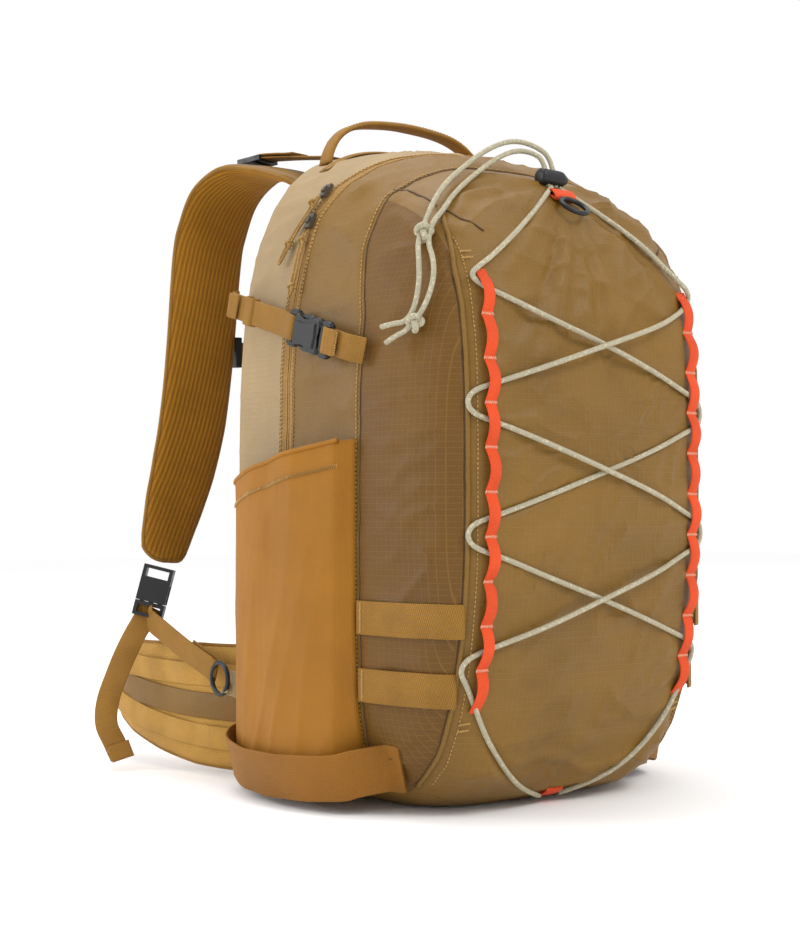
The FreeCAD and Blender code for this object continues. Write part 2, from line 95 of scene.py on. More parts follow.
TAIL_B = [
    (-4, -65.6, 477.6), (-4, -62.1, 499), (-13, -56, 506), (-28, -52, 506), (-47, -50, 496),
    (-75.5, -57.1, 477.3), (-98.5, -65.4, 460.7), (-112.4, -70.6, 446.2), (-122.3, -71.3, 436.6),
    (-127.3, -71.8, 421.6), (-131.4, -84.6, 407.1), (-133.5, -87.4, 390.6), (-138.6, -82.2, 370.1),
    (-146.6, -72.2, 355.1), (-150.6, -64.2, 352.1), (-153.6, -56.2, 347.1)]
TAIL_KNOTS = [((-127.3, -67.8, 429.6), 8.0), ((-142.6, -77.2, 361.1), 7.5)]
PULLS = {
    "a": ([(-126, 72, 478.8), (-130.6, 77, 468.6), (-140, 83.8, 451.4), (-147, 88, 436), (-151, 93, 424)],
          [((-129.4, 77.7, 473.5), 4.1), ((-144.8, 88.5, 440.3), 4.2)]),
    "b": ([(-139, 72, 448), (-144.5, 70, 437), (-150, 67, 424), (-154, 65, 410), (-157.5, 67, 395)],
          [((-142.8, 72.5, 441.3), 4.2), ((-155.5, 67.5, 402.3), 4.2)])}


# ---- materials --------------------------------------------------------------
class Nodes:
    """Short calls for building a node tree."""

    def __init__(self, name):
        self.material = bpy.data.materials.new(name)
        self.material.use_nodes = True
        self.tree = self.material.node_tree
        self.shader = self.tree.nodes["Principled BSDF"]

    def add(self, kind, inputs=None, **settings):
        node = self.tree.nodes.new(kind)
        for key, value in settings.items():
            setattr(node, key, value)
        for key, value in (inputs or {}).items():
            self.set(node.inputs[key], value)
        return node

    def set(self, socket, value):
        if isinstance(value, bpy.types.NodeSocket):
            self.tree.links.new(value, socket)
        else:
            socket.default_value = value

    def math(self, operation, a, b=0.0, c=0.0):
        node = self.add("ShaderNodeMath", {0: a, 1: b, 2: c}, operation=operation)
        return node.outputs[0]

    def mix(self, share, a, b):
        node = self.add("ShaderNodeMix", {0: share, 6: a, 7: b}, data_type="RGBA")
        return node.outputs[2]

    def noise(self, vector, scale, detail=3.0, rough=0.55):
        node = self.add("ShaderNodeTexNoise",
                        {"Vector": vector, "Scale": scale, "Detail": detail, "Roughness": rough})
        return node.outputs["Fac"]

    def ramp(self, value, low, high, to_low=0.0, to_high=1.0):
        node = self.add("ShaderNodeMapRange", {0: value, 1: low, 2: high, 3: to_low, 4: to_high})
        return node.outputs[0]

    def clouded(self, rgb, cloud, low, high, dark, light):
        """The colour, a little darker and lighter in soft clouds."""
        return self.mix(self.ramp(cloud, low, high), tone(rgb, dark), tone(rgb, light))

    def object_space(self):
        return self.add("ShaderNodeTexCoord").outputs["Object"]

    def uv(self):
        """The two surface lengths in metres, apart."""
        source = self.add("ShaderNodeUVMap", uv_map="cloth").outputs[0]
        parts = self.add("ShaderNodeSeparateXYZ", {0: source})
        return parts.outputs[0], parts.outputs[1]

    def wave(self, value, period, phase=0.0):
        """A rounded wave from 0 to 1 along a length."""
        turn = self.math("MULTIPLY_ADD", value, 2 * math.pi / period, phase)
        return self.math("MULTIPLY_ADD", self.math("SINE", turn), 0.5, 0.5)

    def line(self, value, period, width):
        """Thin lines, one each period: 1 on the line."""
        place = self.math("FRACT", self.math("DIVIDE", value, period))
        return self.math("LESS_THAN", self.math("ABSOLUTE", self.math("SUBTRACT", place, 0.5)),
                         width / period / 2)

    def finish(self, colour, roughness, height, depth, sheen=0.0, specular=0.3):
        self.set(self.shader.inputs["Base Color"], colour)
        self.set(self.shader.inputs["Roughness"], roughness)
        bump = self.add("ShaderNodeBump", {"Strength": 1.0, "Distance": depth, "Height": height})
        self.set(self.shader.inputs["Normal"], bump.outputs[0])
        self.shader.inputs["Sheen Weight"].default_value = sheen
        self.shader.inputs["Sheen Tint"].default_value = (0.75, 0.55, 0.30, 1)
        self.shader.inputs["Sheen Roughness"].default_value = 0.4
        self.shader.inputs["Specular IOR Level"].default_value = specular
        return self.material


def tone(rgb, factor=1.0):
    """A colour made darker or lighter, with its alpha."""
    return tuple(min(1.0, c * factor) for c in rgb) + (1.0,)


def ripstop(name, rgb, thread, cell=0.0052, rough=0.42, sheen=0.15, contrast=0.55):
    """Coated ripstop: a close plain weave with a raised, lighter thread grid."""
    n = Nodes(name)
    u, v = n.uv()
    place = n.object_space()
    grid = n.math("MAXIMUM", n.line(u, cell, 0.00055), n.line(v, cell, 0.00055))
    dots = n.math("GREATER_THAN", n.math("MULTIPLY", n.wave(u, 0.0011), n.wave(v, 0.0011)), 0.14)
    grid = n.math("MULTIPLY", grid, n.math("MULTIPLY_ADD", dots, 0.7, 0.3))
    cloud = n.noise(place, 9.0, 4.0)
    fine = n.noise(place, 900.0, 2.0)
    base = n.clouded(rgb, cloud, 0.35, 0.7, 0.86, 1.14)
    base = n.mix(n.math("MULTIPLY", grid, contrast), base, tone(thread))
    base = n.mix(n.ramp(fine, 0.4, 0.62, 0.0, 0.14), base, tone(rgb, 0.45))
    weave = n.math("MULTIPLY", n.wave(u, 0.0009), n.wave(v, 0.0009))
    height = n.math("MULTIPLY_ADD", weave, 0.35, n.math("MULTIPLY", grid, 0.6))
    roughness = n.ramp(cloud, 0.3, 0.75, rough - 0.05, rough + 0.12)
    return n.finish(base, roughness, height, 0.00022, sheen, 0.32)


def plain_weave(name, rgb, period=0.0012, rough=0.75, sheen=0.3, depth=0.0002):
    """A plain woven or knitted cloth."""
    n = Nodes(name)
    u, v = n.uv()
    place = n.object_space()
    cloud = n.noise(place, 14.0, 4.0)
    cross = n.math("ADD", n.math("MULTIPLY", n.wave(u, period), 0.5),
                   n.math("MULTIPLY", n.wave(v, period), 0.5))
    speck = n.noise(place, 700.0, 2.0)
    base = n.clouded(rgb, cloud, 0.3, 0.75, 0.88, 1.12)
    # Painted shade: the colour darkens in the weave's hollows, where the bump is lowest
    base = n.mix(n.ramp(cross, 0.0, 0.5, 0.35, 0.0), base, tone(rgb, 0.55))
    base = n.mix(n.ramp(speck, 0.5, 0.7, 0.0, 0.2), base, tone(rgb, 1.4))
    return n.finish(base, n.ramp(speck, 0.3, 0.7, rough - 0.08, rough + 0.08), cross, depth, sheen)


def webbing(name, rgb, rib=0.0016):
    """Flat woven webbing: ribs across, and a herringbone of two yarns along it."""
    n = Nodes(name)
    u, v = n.uv()
    place = n.object_space()
    shear = n.math("MULTIPLY_ADD", n.wave(v, 0.005), 0.0011, u)
    ribs = n.wave(shear, rib)
    yarns = n.wave(v, 0.0014)
    cloud = n.noise(place, 40.0, 3.0)
    base = n.clouded(rgb, cloud, 0.3, 0.7, 0.85, 1.12)
    height = n.math("MULTIPLY_ADD", ribs, 0.7, n.math("MULTIPLY", yarns, 0.3))
    # Painted shade: darker between the ribs and yarns, where the bump is lowest
    base = n.mix(n.ramp(height, 0.1, 0.7, 0.7, 0.0), base, tone(rgb, 0.4))
    fuzz = n.noise(place, 1200.0, 2.0)
    base = n.mix(n.ramp(fuzz, 0.5, 0.75, 0.0, 0.25), base, tone(rgb, 1.5))
    return n.finish(base, n.ramp(fuzz, 0.3, 0.7, 0.6, 0.8), height, 0.00035, 0.08)


def air_mesh(name, rgb, period=0.0042):
    """Ribbed spacer mesh: soft channels with small open cells."""
    n = Nodes(name)
    u, v = n.uv()
    place = n.object_space()
    ribs = n.wave(n.math("ADD", u, n.math("MULTIPLY", v, 0.12)), period)
    cells = n.math("MULTIPLY", n.wave(u, 0.0021), n.wave(v, 0.0024))
    cloud = n.noise(place, 16.0, 3.0)
    height = n.math("MULTIPLY_ADD", ribs, 0.75, n.math("MULTIPLY", cells, 0.35))
    base = n.clouded(rgb, cloud, 0.3, 0.7, 0.85, 1.15)
    # Painted shade: darker in the channels and cells, where the bump is lowest
    base = n.mix(n.ramp(height, 0.05, 0.65, 0.6, 0.0), base, tone(rgb, 0.35))
    return n.finish(base, 0.85, height, 0.0006, 0.05, 0.15)


def braid(name, rgb, fleck, pitch=0.0042):
    """Round braided cord: crossing diagonal yarns with a fleck."""
    n = Nodes(name)
    u, v = n.uv()
    one = n.wave(n.math("ADD", u, n.math("MULTIPLY", v, 0.33)), pitch / 3)
    two = n.wave(n.math("SUBTRACT", u, n.math("MULTIPLY", v, 0.33)), pitch / 3)
    height = n.math("MAXIMUM", one, two)
    flecks = n.math("GREATER_THAN", n.noise(n.object_space(), 420.0, 1.0), 0.6)
    # Painted shade: darker between the crossing yarns, where the bump is lowest
    base = n.mix(n.ramp(height, 0.5, 1.0, 0.45, 0.0), tone(rgb), tone(rgb, 0.5))
    base = n.mix(n.math("MULTIPLY", flecks, 0.5), base, tone(fleck))
    return n.finish(base, 0.62, height, 0.0004, 0.3)


def thread(name, rgb):
    """Sewing thread: fine twisted strands, no visible weave."""
    n = Nodes(name)
    twist = n.noise(n.object_space(), 900.0, 2.0)
    base = n.clouded(rgb, twist, 0.35, 0.65, 0.8, 1.15)
    return n.finish(base, 0.6, twist, 0.00004, 0.2)


def plastic(name, rgb, rough=0.42):
    """Moulded acetal: faint spark texture, scuffed lighter here and there."""
    n = Nodes(name)
    place = n.object_space()
    grain = n.noise(place, 1400.0, 2.0)
    scuff = n.noise(place, 120.0, 5.0, 0.7)
    base = n.mix(n.ramp(scuff, 0.58, 0.8, 0.0, 0.3), tone(rgb), tone(rgb, 2.2))
    return n.finish(base, n.ramp(scuff, 0.3, 0.7, rough - 0.08, rough + 0.14), grain, 0.00006, 0.0, 0.3)


MAT = {
    # Side panels: darker than the shell, partly their own deeper colour and partly painted shade where they
    # turn from the light
    "gusset": ripstop("gusset_ripstop_shaded", (0.125, 0.054, 0.002), (0.30, 0.155, 0.025), 0.0044, 0.5, 0.0, 0.4),
    "shell": ripstop("shell_ripstop", (0.185, 0.093, 0.010), (0.34, 0.19, 0.055), 0.0046, 0.44, 0.0, 0.3),
    "rear": ripstop("rear_ripstop", (0.34, 0.235, 0.115), (0.42, 0.30, 0.16), 0.0042, 0.55, 0.0, 0.2),
    "zip_tape": webbing("zip_tape", (0.36, 0.20, 0.055), 0.0011),
    "coil": webbing("zip_coil", (0.42, 0.235, 0.07), 0.0014),
    "stretch": plain_weave("stretch_cloth", (0.30, 0.118, 0.003), 0.0010, 0.62, 0.05, 0.00012),
    "band": plain_weave("elastic_cloth", (0.235, 0.092, 0.005), 0.0016, 0.68, 0.1, 0.0003),
    "wing": webbing("wing_webbing", (0.50, 0.27, 0.050)),
    "web": webbing("tan_webbing", (0.295, 0.140, 0.017)),
    "orange": webbing("orange_webbing", (0.78, 0.075, 0.012), 0.0014),
    "tack": thread("pale_thread", (0.66, 0.27, 0.17)),
    "stitch": thread("tan_thread", (0.42, 0.24, 0.07)),
    # seam_shadow: a dark colour for cords of painted shade along seams, darts and the zip's gap
    "seam": thread("seam_shadow", (0.060, 0.030, 0.008)),
    "cord": braid("lacing_cord", (0.44, 0.40, 0.28), (0.68, 0.62, 0.44)),
    "pull": braid("pull_cord", (0.36, 0.20, 0.05), (0.55, 0.34, 0.11), 0.003),
    "mesh": air_mesh("spacer_mesh", (0.33, 0.145, 0.012)),
    "back_mesh": air_mesh("back_mesh", (0.20, 0.105, 0.030), 0.0055),
    "lining": plain_weave("lining_cloth", (0.30, 0.29, 0.25), 0.0010, 0.7, 0.05),
    "plastic": plastic("dark_plastic", (0.016, 0.016, 0.018), 0.36),
    "sheet": plastic("frame_plastic", (0.07, 0.07, 0.07), 0.5),
    "metal": plastic("slider_enamel", (0.060, 0.045, 0.030), 0.3),
}


# ---- the bag's form ---------------------------------------------------------
def hoop_at(y):
    """The hoop's figures at any depth."""
    y = max(HOOPS[-1][0], min(HOOPS[0][0], y))
    for near, far in zip(HOOPS, HOOPS[1:]):
        if far[0] <= y <= near[0]:
            share = (near[0] - y) / (near[0] - far[0])
            return [a + (b - a) * share for a, b in zip(near, far)]


def half_hoop(y, z):
    """Half width, exponent and height of a hoop's upper or lower half."""
    _, half, top, low, n_top, n_low = hoop_at(y)
    return (half, n_top, top - MID_Z) if z >= MID_Z else (half, n_low, MID_Z - low)


def fullness(x, y, z):
    """Below 1 inside the bag's form, 1 on it, above 1 outside."""
    half, n, height = half_hoop(y, z)
    return (abs(x) / half) ** n + (abs(z - MID_Z) / height) ** n


def front_y(x, z):
    """Depth of the bag's face in front of a point."""
    low, high = HOOPS[-1][0], HOOPS[0][0]
    if fullness(x, low, z) < 1:
        return low
    for _ in range(HALVINGS):
        middle = (low + high) / 2
        low, high = (low, middle) if fullness(x, middle, z) < 1 else (middle, high)
    return high


def side_x(y, z):
    """Half width of the bag at a depth and height."""
    half, n, height = half_hoop(y, z)
    return half * max(0.0, 1 - (abs(z - MID_Z) / height) ** n) ** (1 / n)


def top_z(x, y):
    """Height of the bag's top."""
    _, half, top, _, n, _ = hoop_at(y)
    return MID_Z + (top - MID_Z) * max(0.0, 1 - (abs(x) / half) ** n) ** (1 / n)


def line_y(line, z):
    """Depth of a seam's outline at a height."""
    return float(np.interp(z, [p[1] for p in line], [p[0] for p in line]))


def over_top(line, z_low=16.0, step=4.0):
    """Points where a y, z outline crosses the bag's surface, up one side and down the other."""
    side = []
    z = z_low
    while side_x(line_y(line, z), z) >= SHOULDER_X:
        side.append((-side_x(line_y(line, z), z), line_y(line, z), z))
        z += step
    top = []
    for x in np.arange(-side[-1][0] - step, 0.5, -step):
        low, high = MID_Z, 560.0
        for _ in range(HALVINGS):
            middle = (low + high) / 2
            low, high = (middle, high) if side_x(line_y(line, middle), middle) > x else (low, middle)
        top.append((-x, line_y(line, low), low))
    half = side + top
    return half + [(-x, y, z) for x, y, z in half[::-1]]


def smooth(a, b, c, d, s):
    """A point between b and c on the smooth curve through four."""
    return 0.5 * (2 * b + (c - a) * s + (2 * a - 5 * b + 4 * c - d) * s * s
                  + (3 * b - a - 3 * c + d) * s ** 3)


def smooth_rows(step=FORM_STEP):
    """The hoops drawn closer together on smooth curves through the given ones."""
    table = np.array(HOOPS, float)
    rows = []
    t = 0.0
    while t <= len(table) - 1 + 1e-6:
        i = min(int(t), len(table) - 2)
        rows.append(smooth(*(table[max(0, min(len(table) - 1, i + k))] for k in (-1, 0, 1, 2)), t - i))
        t += step
    y, half, top, low, n_top, n_low = table[-1]
    centre = (top + low) / 2
    for share in (0.8, 0.6, 0.4, 0.2, 0.04):
        rows.append(np.array([y - 2.2 * (1 - share ** 2), half * share, centre + (top - centre) * share,
                              centre + (low - centre) * share, n_top, n_low]))
    return rows


def hoop_ring(row, count):
    """Evenly spaced points round one hoop, from its top, in millimetres."""
    y, half, top, low, n_top, n_low = row
    middle = MID_Z if low < MID_Z < top else (top + low) / 2
    turn = np.linspace(math.pi / 2, math.pi / 2 - 2 * math.pi, 1441)
    c, s = np.cos(turn), np.sin(turn)
    n = np.where(s >= 0, n_top, n_low)
    height = np.where(s >= 0, top - middle, middle - low)
    x = half * np.sign(c) * np.abs(c) ** (2 / n)
    z = middle + height * np.sign(s) * np.abs(s) ** (2 / n)
    along = np.concatenate([[0], np.cumsum(np.hypot(np.diff(x), np.diff(z)))])
    at = np.linspace(0, along[-1], count, endpoint=False)
    return [(float(np.interp(a, along, x)), y, float(np.interp(a, along, z))) for a in at]


# Seam over the top of the gusset; the piping bends along its third and fourth points, left out of the dart
DART = [(109, -5, 474), (108, -37, 464), (107, -60, 451), (114, -81, 424), (102, -78, 441), (90, -91, 431)]
SEAMS = {
    "dart": [(s * x, y, z) for s in (-1, 1) for x, y, z in DART],
    "zip": over_top(ZIP_LINE),
    "side": over_top(SEAM_LINE),
    "piping": [(s * (PIPING_X + 0.5), front_y(PIPING_X, z), z) for s in (-1, 1)
               for z in np.arange(22, 410, 4.0)],
}


def wrinkle(x, y, z, seam_distance, corner):
    """How far the cloth stands out at a point, in millimetres."""
    p = Vector((x, y, z))
    broad = noise.noise(p / 85.0) * 2.8
    crease = 1 - abs(noise.noise(Vector((x / 60, y / 60, z / 24)) + Vector((7, 3, 1))))
    crease = (crease ** 9) * (2.0 + 2.6 * corner)
    slant = 1 - abs(noise.noise(Vector(((x + z) / 95, y / 70, (z - x) / 34)) + Vector((2, 9, 4))))
    crease += (slant ** 12) * 2.4
    crease *= 1.0 if y < 40 else 0.5
    small = noise.noise(p / 16.0) * 0.35
    pull = noise.noise(p / 14.0) * 0.8 * math.exp(-(seam_distance / 9) ** 2)
    near = math.exp(-(seam_distance / 5.0) ** 2)
    if y < -60 and z > 300:
        reach = math.hypot(x, 478 - z)
        turn = math.atan2(x, 478 - z)
        fan = noise.noise(Vector((turn * 5.5, 4.0, reach / 190))) * math.exp(-((reach - 85) / 55) ** 2)
        broad += 8.5 * fan
    return (broad + crease + small) * (1 - 0.85 * math.exp(-(seam_distance / 22) ** 2)) + pull - 1.5 * near


def nearest_of(points):
    """A tree to look up the nearest of many points."""
    tree = kdtree.KDTree(len(points))
    for index, point in enumerate(points):
        tree.insert(point, index)
    tree.balance()
    return tree


# The finished cloth, kept for laying straps, seams and stitches on it
SKIN = {}


def skin_form():
    """The bag's closed form as rings of points, cut along every seam, zip tape and fold."""
    mesh = bmesh.new()
    mesh.loops.layers.uv.new("cloth")
    rings = []
    for row in smooth_rows():
        rings.append([mesh.verts.new(point) for point in hoop_ring(row, RING_POINTS)])
    for one, two in zip(rings, rings[1:]):
        for i in range(RING_POINTS):
            j = (i + 1) % RING_POINTS
            mesh.faces.new((one[i], one[j], two[j], two[i]))
    mesh.faces.new(rings[-1])
    mesh.faces.new(rings[0][::-1])
    bmesh.ops.recalc_face_normals(mesh, faces=mesh.faces)

    def cut(place_at, facing):
        geometry = mesh.verts[:] + mesh.edges[:] + mesh.faces[:]
        bmesh.ops.bisect_plane(mesh, geom=geometry, plane_co=place_at, plane_no=facing)
    for line, shift in ((ZIP_LINE, 0), (SEAM_LINE, 0), (ZIP_LINE, TAPE_HALF), (ZIP_LINE, -TAPE_HALF)):
        for (y0, z0), (y1, z1) in zip(line, line[1:]):
            cut((0, y0 + shift, z0), (0, z1 - z0, y0 - y1))
    cut((0, 0, FLOOR_SEAM_Z), (0, 0, -1))
    cut((0, FOLD_Y, 0), (0, 1, 0))
    for x in (-PIPING_X, PIPING_X):
        cut((x, 0, 0), (1, 0, 0))
    mesh.normal_update()
    return mesh


def skin_moves(mesh):
    """How far each point of the cloth moves in its wrinkles; under the laces it stays below them."""
    seams = nearest_of([p for line in SEAMS.values() for p in line])
    laces = nearest_of([p for route in (LACE, LACE_RIGHT) for p in curve_through(route, 3.0)[0]])
    moves = {}
    for v in mesh.verts:
        x, y, z = v.co
        corner = max(0.0, min(1.0, (z - 380) / 90)) + max(0.0, min(1.0, (110 - z) / 80))
        flat = max(0.0, min(1.0, (z - 4) / 18))
        out = wrinkle(x, y, z, seams.find(v.co)[2], corner) * flat * (1 if y < 140 else 0.3)
        moves[v] = v.normal * min(out, max(-2.5, laces.find(v.co)[2] - 2.5))
    return moves


def cloth_of(face):
    """The part of the bag a face belongs to and its place in that part's list of materials."""
    c = face.calc_center_median()
    zip_y = line_y(ZIP_LINE, c.z)
    if c.z < FLOOR_SEAM_Z and c.y > FOLD_Y:
        return "base", 0
    if c.y > zip_y:
        return "rear", 1 if c.y < zip_y + TAPE_HALF else 0
    if c.y > zip_y - TAPE_HALF:
        return "front", 1
    return "front", 2 if abs(c.x) > PIPING_X and c.y < line_y(SEAM_LINE, c.z) else 0


def lay_weave(face, uv):
    """Lays the weave on a face from the front, from above or round the side."""
    c = face.calc_center_median()
    on_front = abs(c.x) < PIPING_X and c.y < line_y(SEAM_LINE, c.z)
    for loop in face.loops:
        p = loop.vert.co
        if on_front or abs(face.normal.y) > 0.8:
            loop[uv].uv = (p.x * MM, p.z * MM)
        elif abs(face.normal.z) > 0.7:
            loop[uv].uv = (p.x * MM, p.y * MM)
        else:
            loop[uv].uv = ((p.y - 0.6 * abs(p.x)) * MM, p.z * MM)


def skin_piece(mesh, kinds, part, cloth):
    """One part cut out of the finished cloth, with its thickness and lining."""
    piece = mesh.copy()
    twin = dict(zip(piece.faces, mesh.faces))
    for f, original in twin.items():
        f.material_index = kinds[original][1]
        f.smooth = True
    others = [f for f, original in twin.items() if kinds[original][0] != part]
    bmesh.ops.delete(piece, geom=others, context="FACES")
    data = bpy.data.meshes.new(part + "_skin")
    piece.to_mesh(data)
    piece.free()
    obj = add_object(part + "_skin", data)
    outside = [cloth, "zip_tape", "gusset"]
    for key in outside + ["lining"] * len(outside):
        data.materials.append(MAT[key])
    thick = obj.modifiers.new("thickness", "SOLIDIFY")
    thick.thickness = CLOTH_THICK * MM
    thick.offset = -1
    thick.material_offset = len(outside)
    return obj


def build_skins():
    """The cloth of the bag, cut along its seams into a front, a rear and a base."""
    mesh = skin_form()
    uv = mesh.loops.layers.uv["cloth"]
    moves = skin_moves(mesh)
    kinds = {}
    for face in mesh.faces:
        kinds[face] = cloth_of(face)
        lay_weave(face, uv)
    for v, move in moves.items():
        v.co += move
        v.co.z = max(v.co.z, 0.0)
        v.co *= MM
    mesh.verts.index_update()
    triangles = [[v.index for v in f.verts] for f in mesh.faces]
    SKIN["tree"] = BVHTree.FromPolygons([v.co.copy() for v in mesh.verts], triangles)
    for part, cloth, body, slot, nodes in (
            ("front", "shell", "front", "shell_fabric",
             ["mid_band", "front_panel", "gusset_left", "gusset_right", "front_zip_tape"]),
            ("rear", "rear", "bag", "side_fabric", ["rear_band", "rear_zip_tape"]),
            ("base", "shell", "bag", "shell_fabric", ["base_panel"])):
        place(skin_piece(mesh, kinds, part, cloth), body, slot, *nodes)
    mesh.free()


# ---- general mesh makers ----------------------------------------------------
def add_object(name, data):
    """An object for some data, in the scene."""
    obj = bpy.data.objects.new(name, data)
    bpy.context.scene.collection.objects.link(obj)
    return obj


def link(name, vertices, faces, material, uvs=None):
    """A mesh object from millimetre points; uvs are in metres, one per face corner."""
    data = bpy.data.meshes.new(name)
    data.from_pydata([Vector(v) * MM for v in vertices], [], faces)
    layer = data.uv_layers.new(name="cloth")
    if uvs is not None:
        layer.data.foreach_set("uv", np.array(uvs, np.float32).ravel())
    data.materials.append(material)
    data.polygons.foreach_set("use_smooth", [True] * len(data.polygons))
    data.update()
    return add_object(name, data)


def cloth_grid(name, outer, inner, point, material, flat, thick=0.0):
    """A grid of cloth from point(i, j); flat tells which two of x, y, z lay the weave on it."""
    vertices = [point(i, j) for i in range(outer + 1) for j in range(inner + 1)]
    faces = []
    for i in range(outer):
        for j in range(inner):
            a = i * (inner + 1) + j
            faces.append((a, a + 1, a + inner + 2, a + inner + 1))
    u, v = flat
    uvs = [(vertices[k][u] * MM, vertices[k][v] * MM) for f in faces for k in f]
    cloth = link(name, vertices, faces, material, uvs)
    if thick:
        layer = cloth.modifiers.new("thickness", "SOLIDIFY")
        layer.thickness = thick * MM
    return cloth


def curve_through(points, step):
    """Even points on a smooth curve through the given ones."""
    p = [np.array(q, float) for q in points]
    if len(p) == 2:
        dense = [p[0] + (p[1] - p[0]) * t for t in np.linspace(0, 1, 30)]
    else:
        dense = []
        for i in range(len(p) - 1):
            a, b, c, d = p[max(0, i - 1)], p[i], p[i + 1], p[min(len(p) - 1, i + 2)]
            dense += [smooth(a, b, c, d, s) for s in np.linspace(0, 1, 24, endpoint=False)]
        dense.append(p[-1])
    dense = np.array(dense)
    along = np.concatenate([[0], np.cumsum(np.linalg.norm(np.diff(dense, axis=0), axis=1))])
    at = np.linspace(0, along[-1], max(2, int(round(along[-1] / step)) + 1))
    return np.stack([np.interp(at, along, dense[:, k]) for k in range(3)], axis=1), at


def frames(path, across):
    """Width and thickness directions along a path."""
    tangent = np.gradient(path, axis=0)
    tangent /= np.linalg.norm(tangent, axis=1)[:, None]
    across = np.broadcast_to(np.array(across, float), path.shape)
    wide = across - tangent * np.sum(across * tangent, axis=1)[:, None]
    wide /= np.linalg.norm(wide, axis=1)[:, None]
    return wide, np.cross(tangent, wide)


def swept(name, path, at, wide, thick, outline, material):
    """Sweeps a closed outline of (width, thickness) points, a function of the place along."""
    vertices, faces, uvs = [], [], []
    rows = [outline(i) for i in range(len(path))]
    count = len(rows[0])
    for centre, w, t, row in zip(path, wide, thick, rows):
        vertices += [tuple(centre + w * a + t * b) for a, b in row]
    girth = [0.0]
    middle = rows[len(rows) // 2]
    for (a, b), (c, d) in zip(middle, middle[1:] + middle[:1]):
        girth.append(girth[-1] + math.hypot(c - a, d - b))
    for i in range(len(path) - 1):
        for j in range(count):
            k = (j + 1) % count
            faces.append((i * count + j, i * count + k, (i + 1) * count + k, (i + 1) * count + j))
            uvs += [(at[i] * MM, girth[j] * MM), (at[i] * MM, girth[j + 1] * MM),
                    (at[i + 1] * MM, girth[j + 1] * MM), (at[i + 1] * MM, girth[j] * MM)]
    for base, order in ((0, -1), ((len(path) - 1) * count, 1)):
        faces.append([base + j for j in range(count)][::order])
        uvs += [(at[0] * MM, girth[j] * MM) for j in range(count)]
    return link(name, vertices, faces, material, uvs)


def strap(name, points, width, thick, across, material, step=3.0, ripple=0.0):
    """Flat webbing with rounded edges, on a smooth curve."""
    path, at = curve_through(points, step)
    wide, through = frames(path, across)
    w, t = width / 2, thick / 2

    def outline(i):
        lift = ripple * math.sin(at[i] / 7.0 + width)
        return [(-w, -t * 0.4 + lift), (-w + t, -t + lift * 0.6), (0, -t + lift * 0.2),
                (w - t, -t - lift * 0.5), (w, -t * 0.4 - lift), (w, t * 0.4 - lift),
                (w - t, t - lift * 0.5), (0, t + lift * 0.2), (-w + t, t + lift * 0.6), (-w, t * 0.4 + lift)]
    return swept(name, path, at, wide, through, outline, material)


def web(name, points, width, across, body, *nodes, thick=1.5, step=3.0, ripple=0.0, colour="web",
        slot="webbing"):
    """A strap that rides on a body and stands for CAD nodes."""
    return place(strap(name, points, width, thick, across, MAT[colour], step, ripple), body, slot, *nodes)


def settle(obj, gap=0.4, ring=10):
    """Lifts a strap's rows until they lie on the bag's cloth."""
    data = obj.data
    count = len(data.vertices) // ring
    lifts, ways = [], []
    for i in range(count):
        worst, way = 0.0, Vector((0, 0, 0))
        for j in range(ring):
            p = data.vertices[i * ring + j].co
            place_at, normal, _, _ = SKIN["tree"].find_nearest(p)
            way += normal
            worst = max(worst, gap * MM - (p - place_at).dot(normal))
        lifts.append(min(worst, 9 * MM))
        ways.append(way.normalized())
    for i in range(count):
        near = lifts[max(0, i - 2):i + 3]
        lift = 0.5 * max(near) + 0.5 * sum(near) / len(near)
        for j in range(ring):
            data.vertices[i * ring + j].co += ways[i] * lift
    return obj


def round_tube(name, path, radius, material, sides=12):
    """A round cord along a dense path in millimetres."""
    path = np.array(path, float)
    at = np.concatenate([[0], np.cumsum(np.linalg.norm(np.diff(path, axis=0), axis=1))])
    tangent = np.gradient(path, axis=0)
    tangent /= np.linalg.norm(tangent, axis=1)[:, None]
    wide = np.zeros_like(path)
    w = np.cross(tangent[0], (0.3, 0.5, 0.8))
    for i, t in enumerate(tangent):
        w = w - t * np.dot(w, t)
        w /= np.linalg.norm(w)
        wide[i] = w
    ring = [(radius * math.cos(2 * math.pi * k / sides), radius * math.sin(2 * math.pi * k / sides))
            for k in range(sides)]
    return swept(name, path, at, wide, np.cross(tangent, wide), lambda i: ring, material)


def spline_path(points):
    """The line of a smooth spline with these control points, in millimetres."""
    curve = bpy.data.curves.new("route", "CURVE")
    curve.dimensions = "3D"
    spline = curve.splines.new("NURBS")
    spline.points.add(len(points) - 1)
    for target, point in zip(spline.points, points):
        target.co = (*point, 1.0)
    spline.order_u = 3
    spline.use_endpoint_u = True
    spline.resolution_u = 10
    obj = bpy.data.objects.new("route", curve)
    data = bpy.data.meshes.new_from_object(obj)
    line = [tuple(v.co) for v in data.vertices]
    bpy.data.objects.remove(obj)
    bpy.data.meshes.remove(data)
    bpy.data.curves.remove(curve)
    return line


def place(obj, body, slot, *nodes):
    """Rides on a body and stands for CAD nodes; the slot is not used."""
    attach(obj, body)
    if nodes:
        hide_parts(*nodes)
    return obj


def on_side(s, points):
    """Points given for the left, laid on the side with sign s."""
    return [(-s * x, y, z) for x, y, z in points]


def held_by_left(s, node):
    """A CAD node with both sides' solids is replaced once, by the left piece."""
    return [node] if s < 0 else []


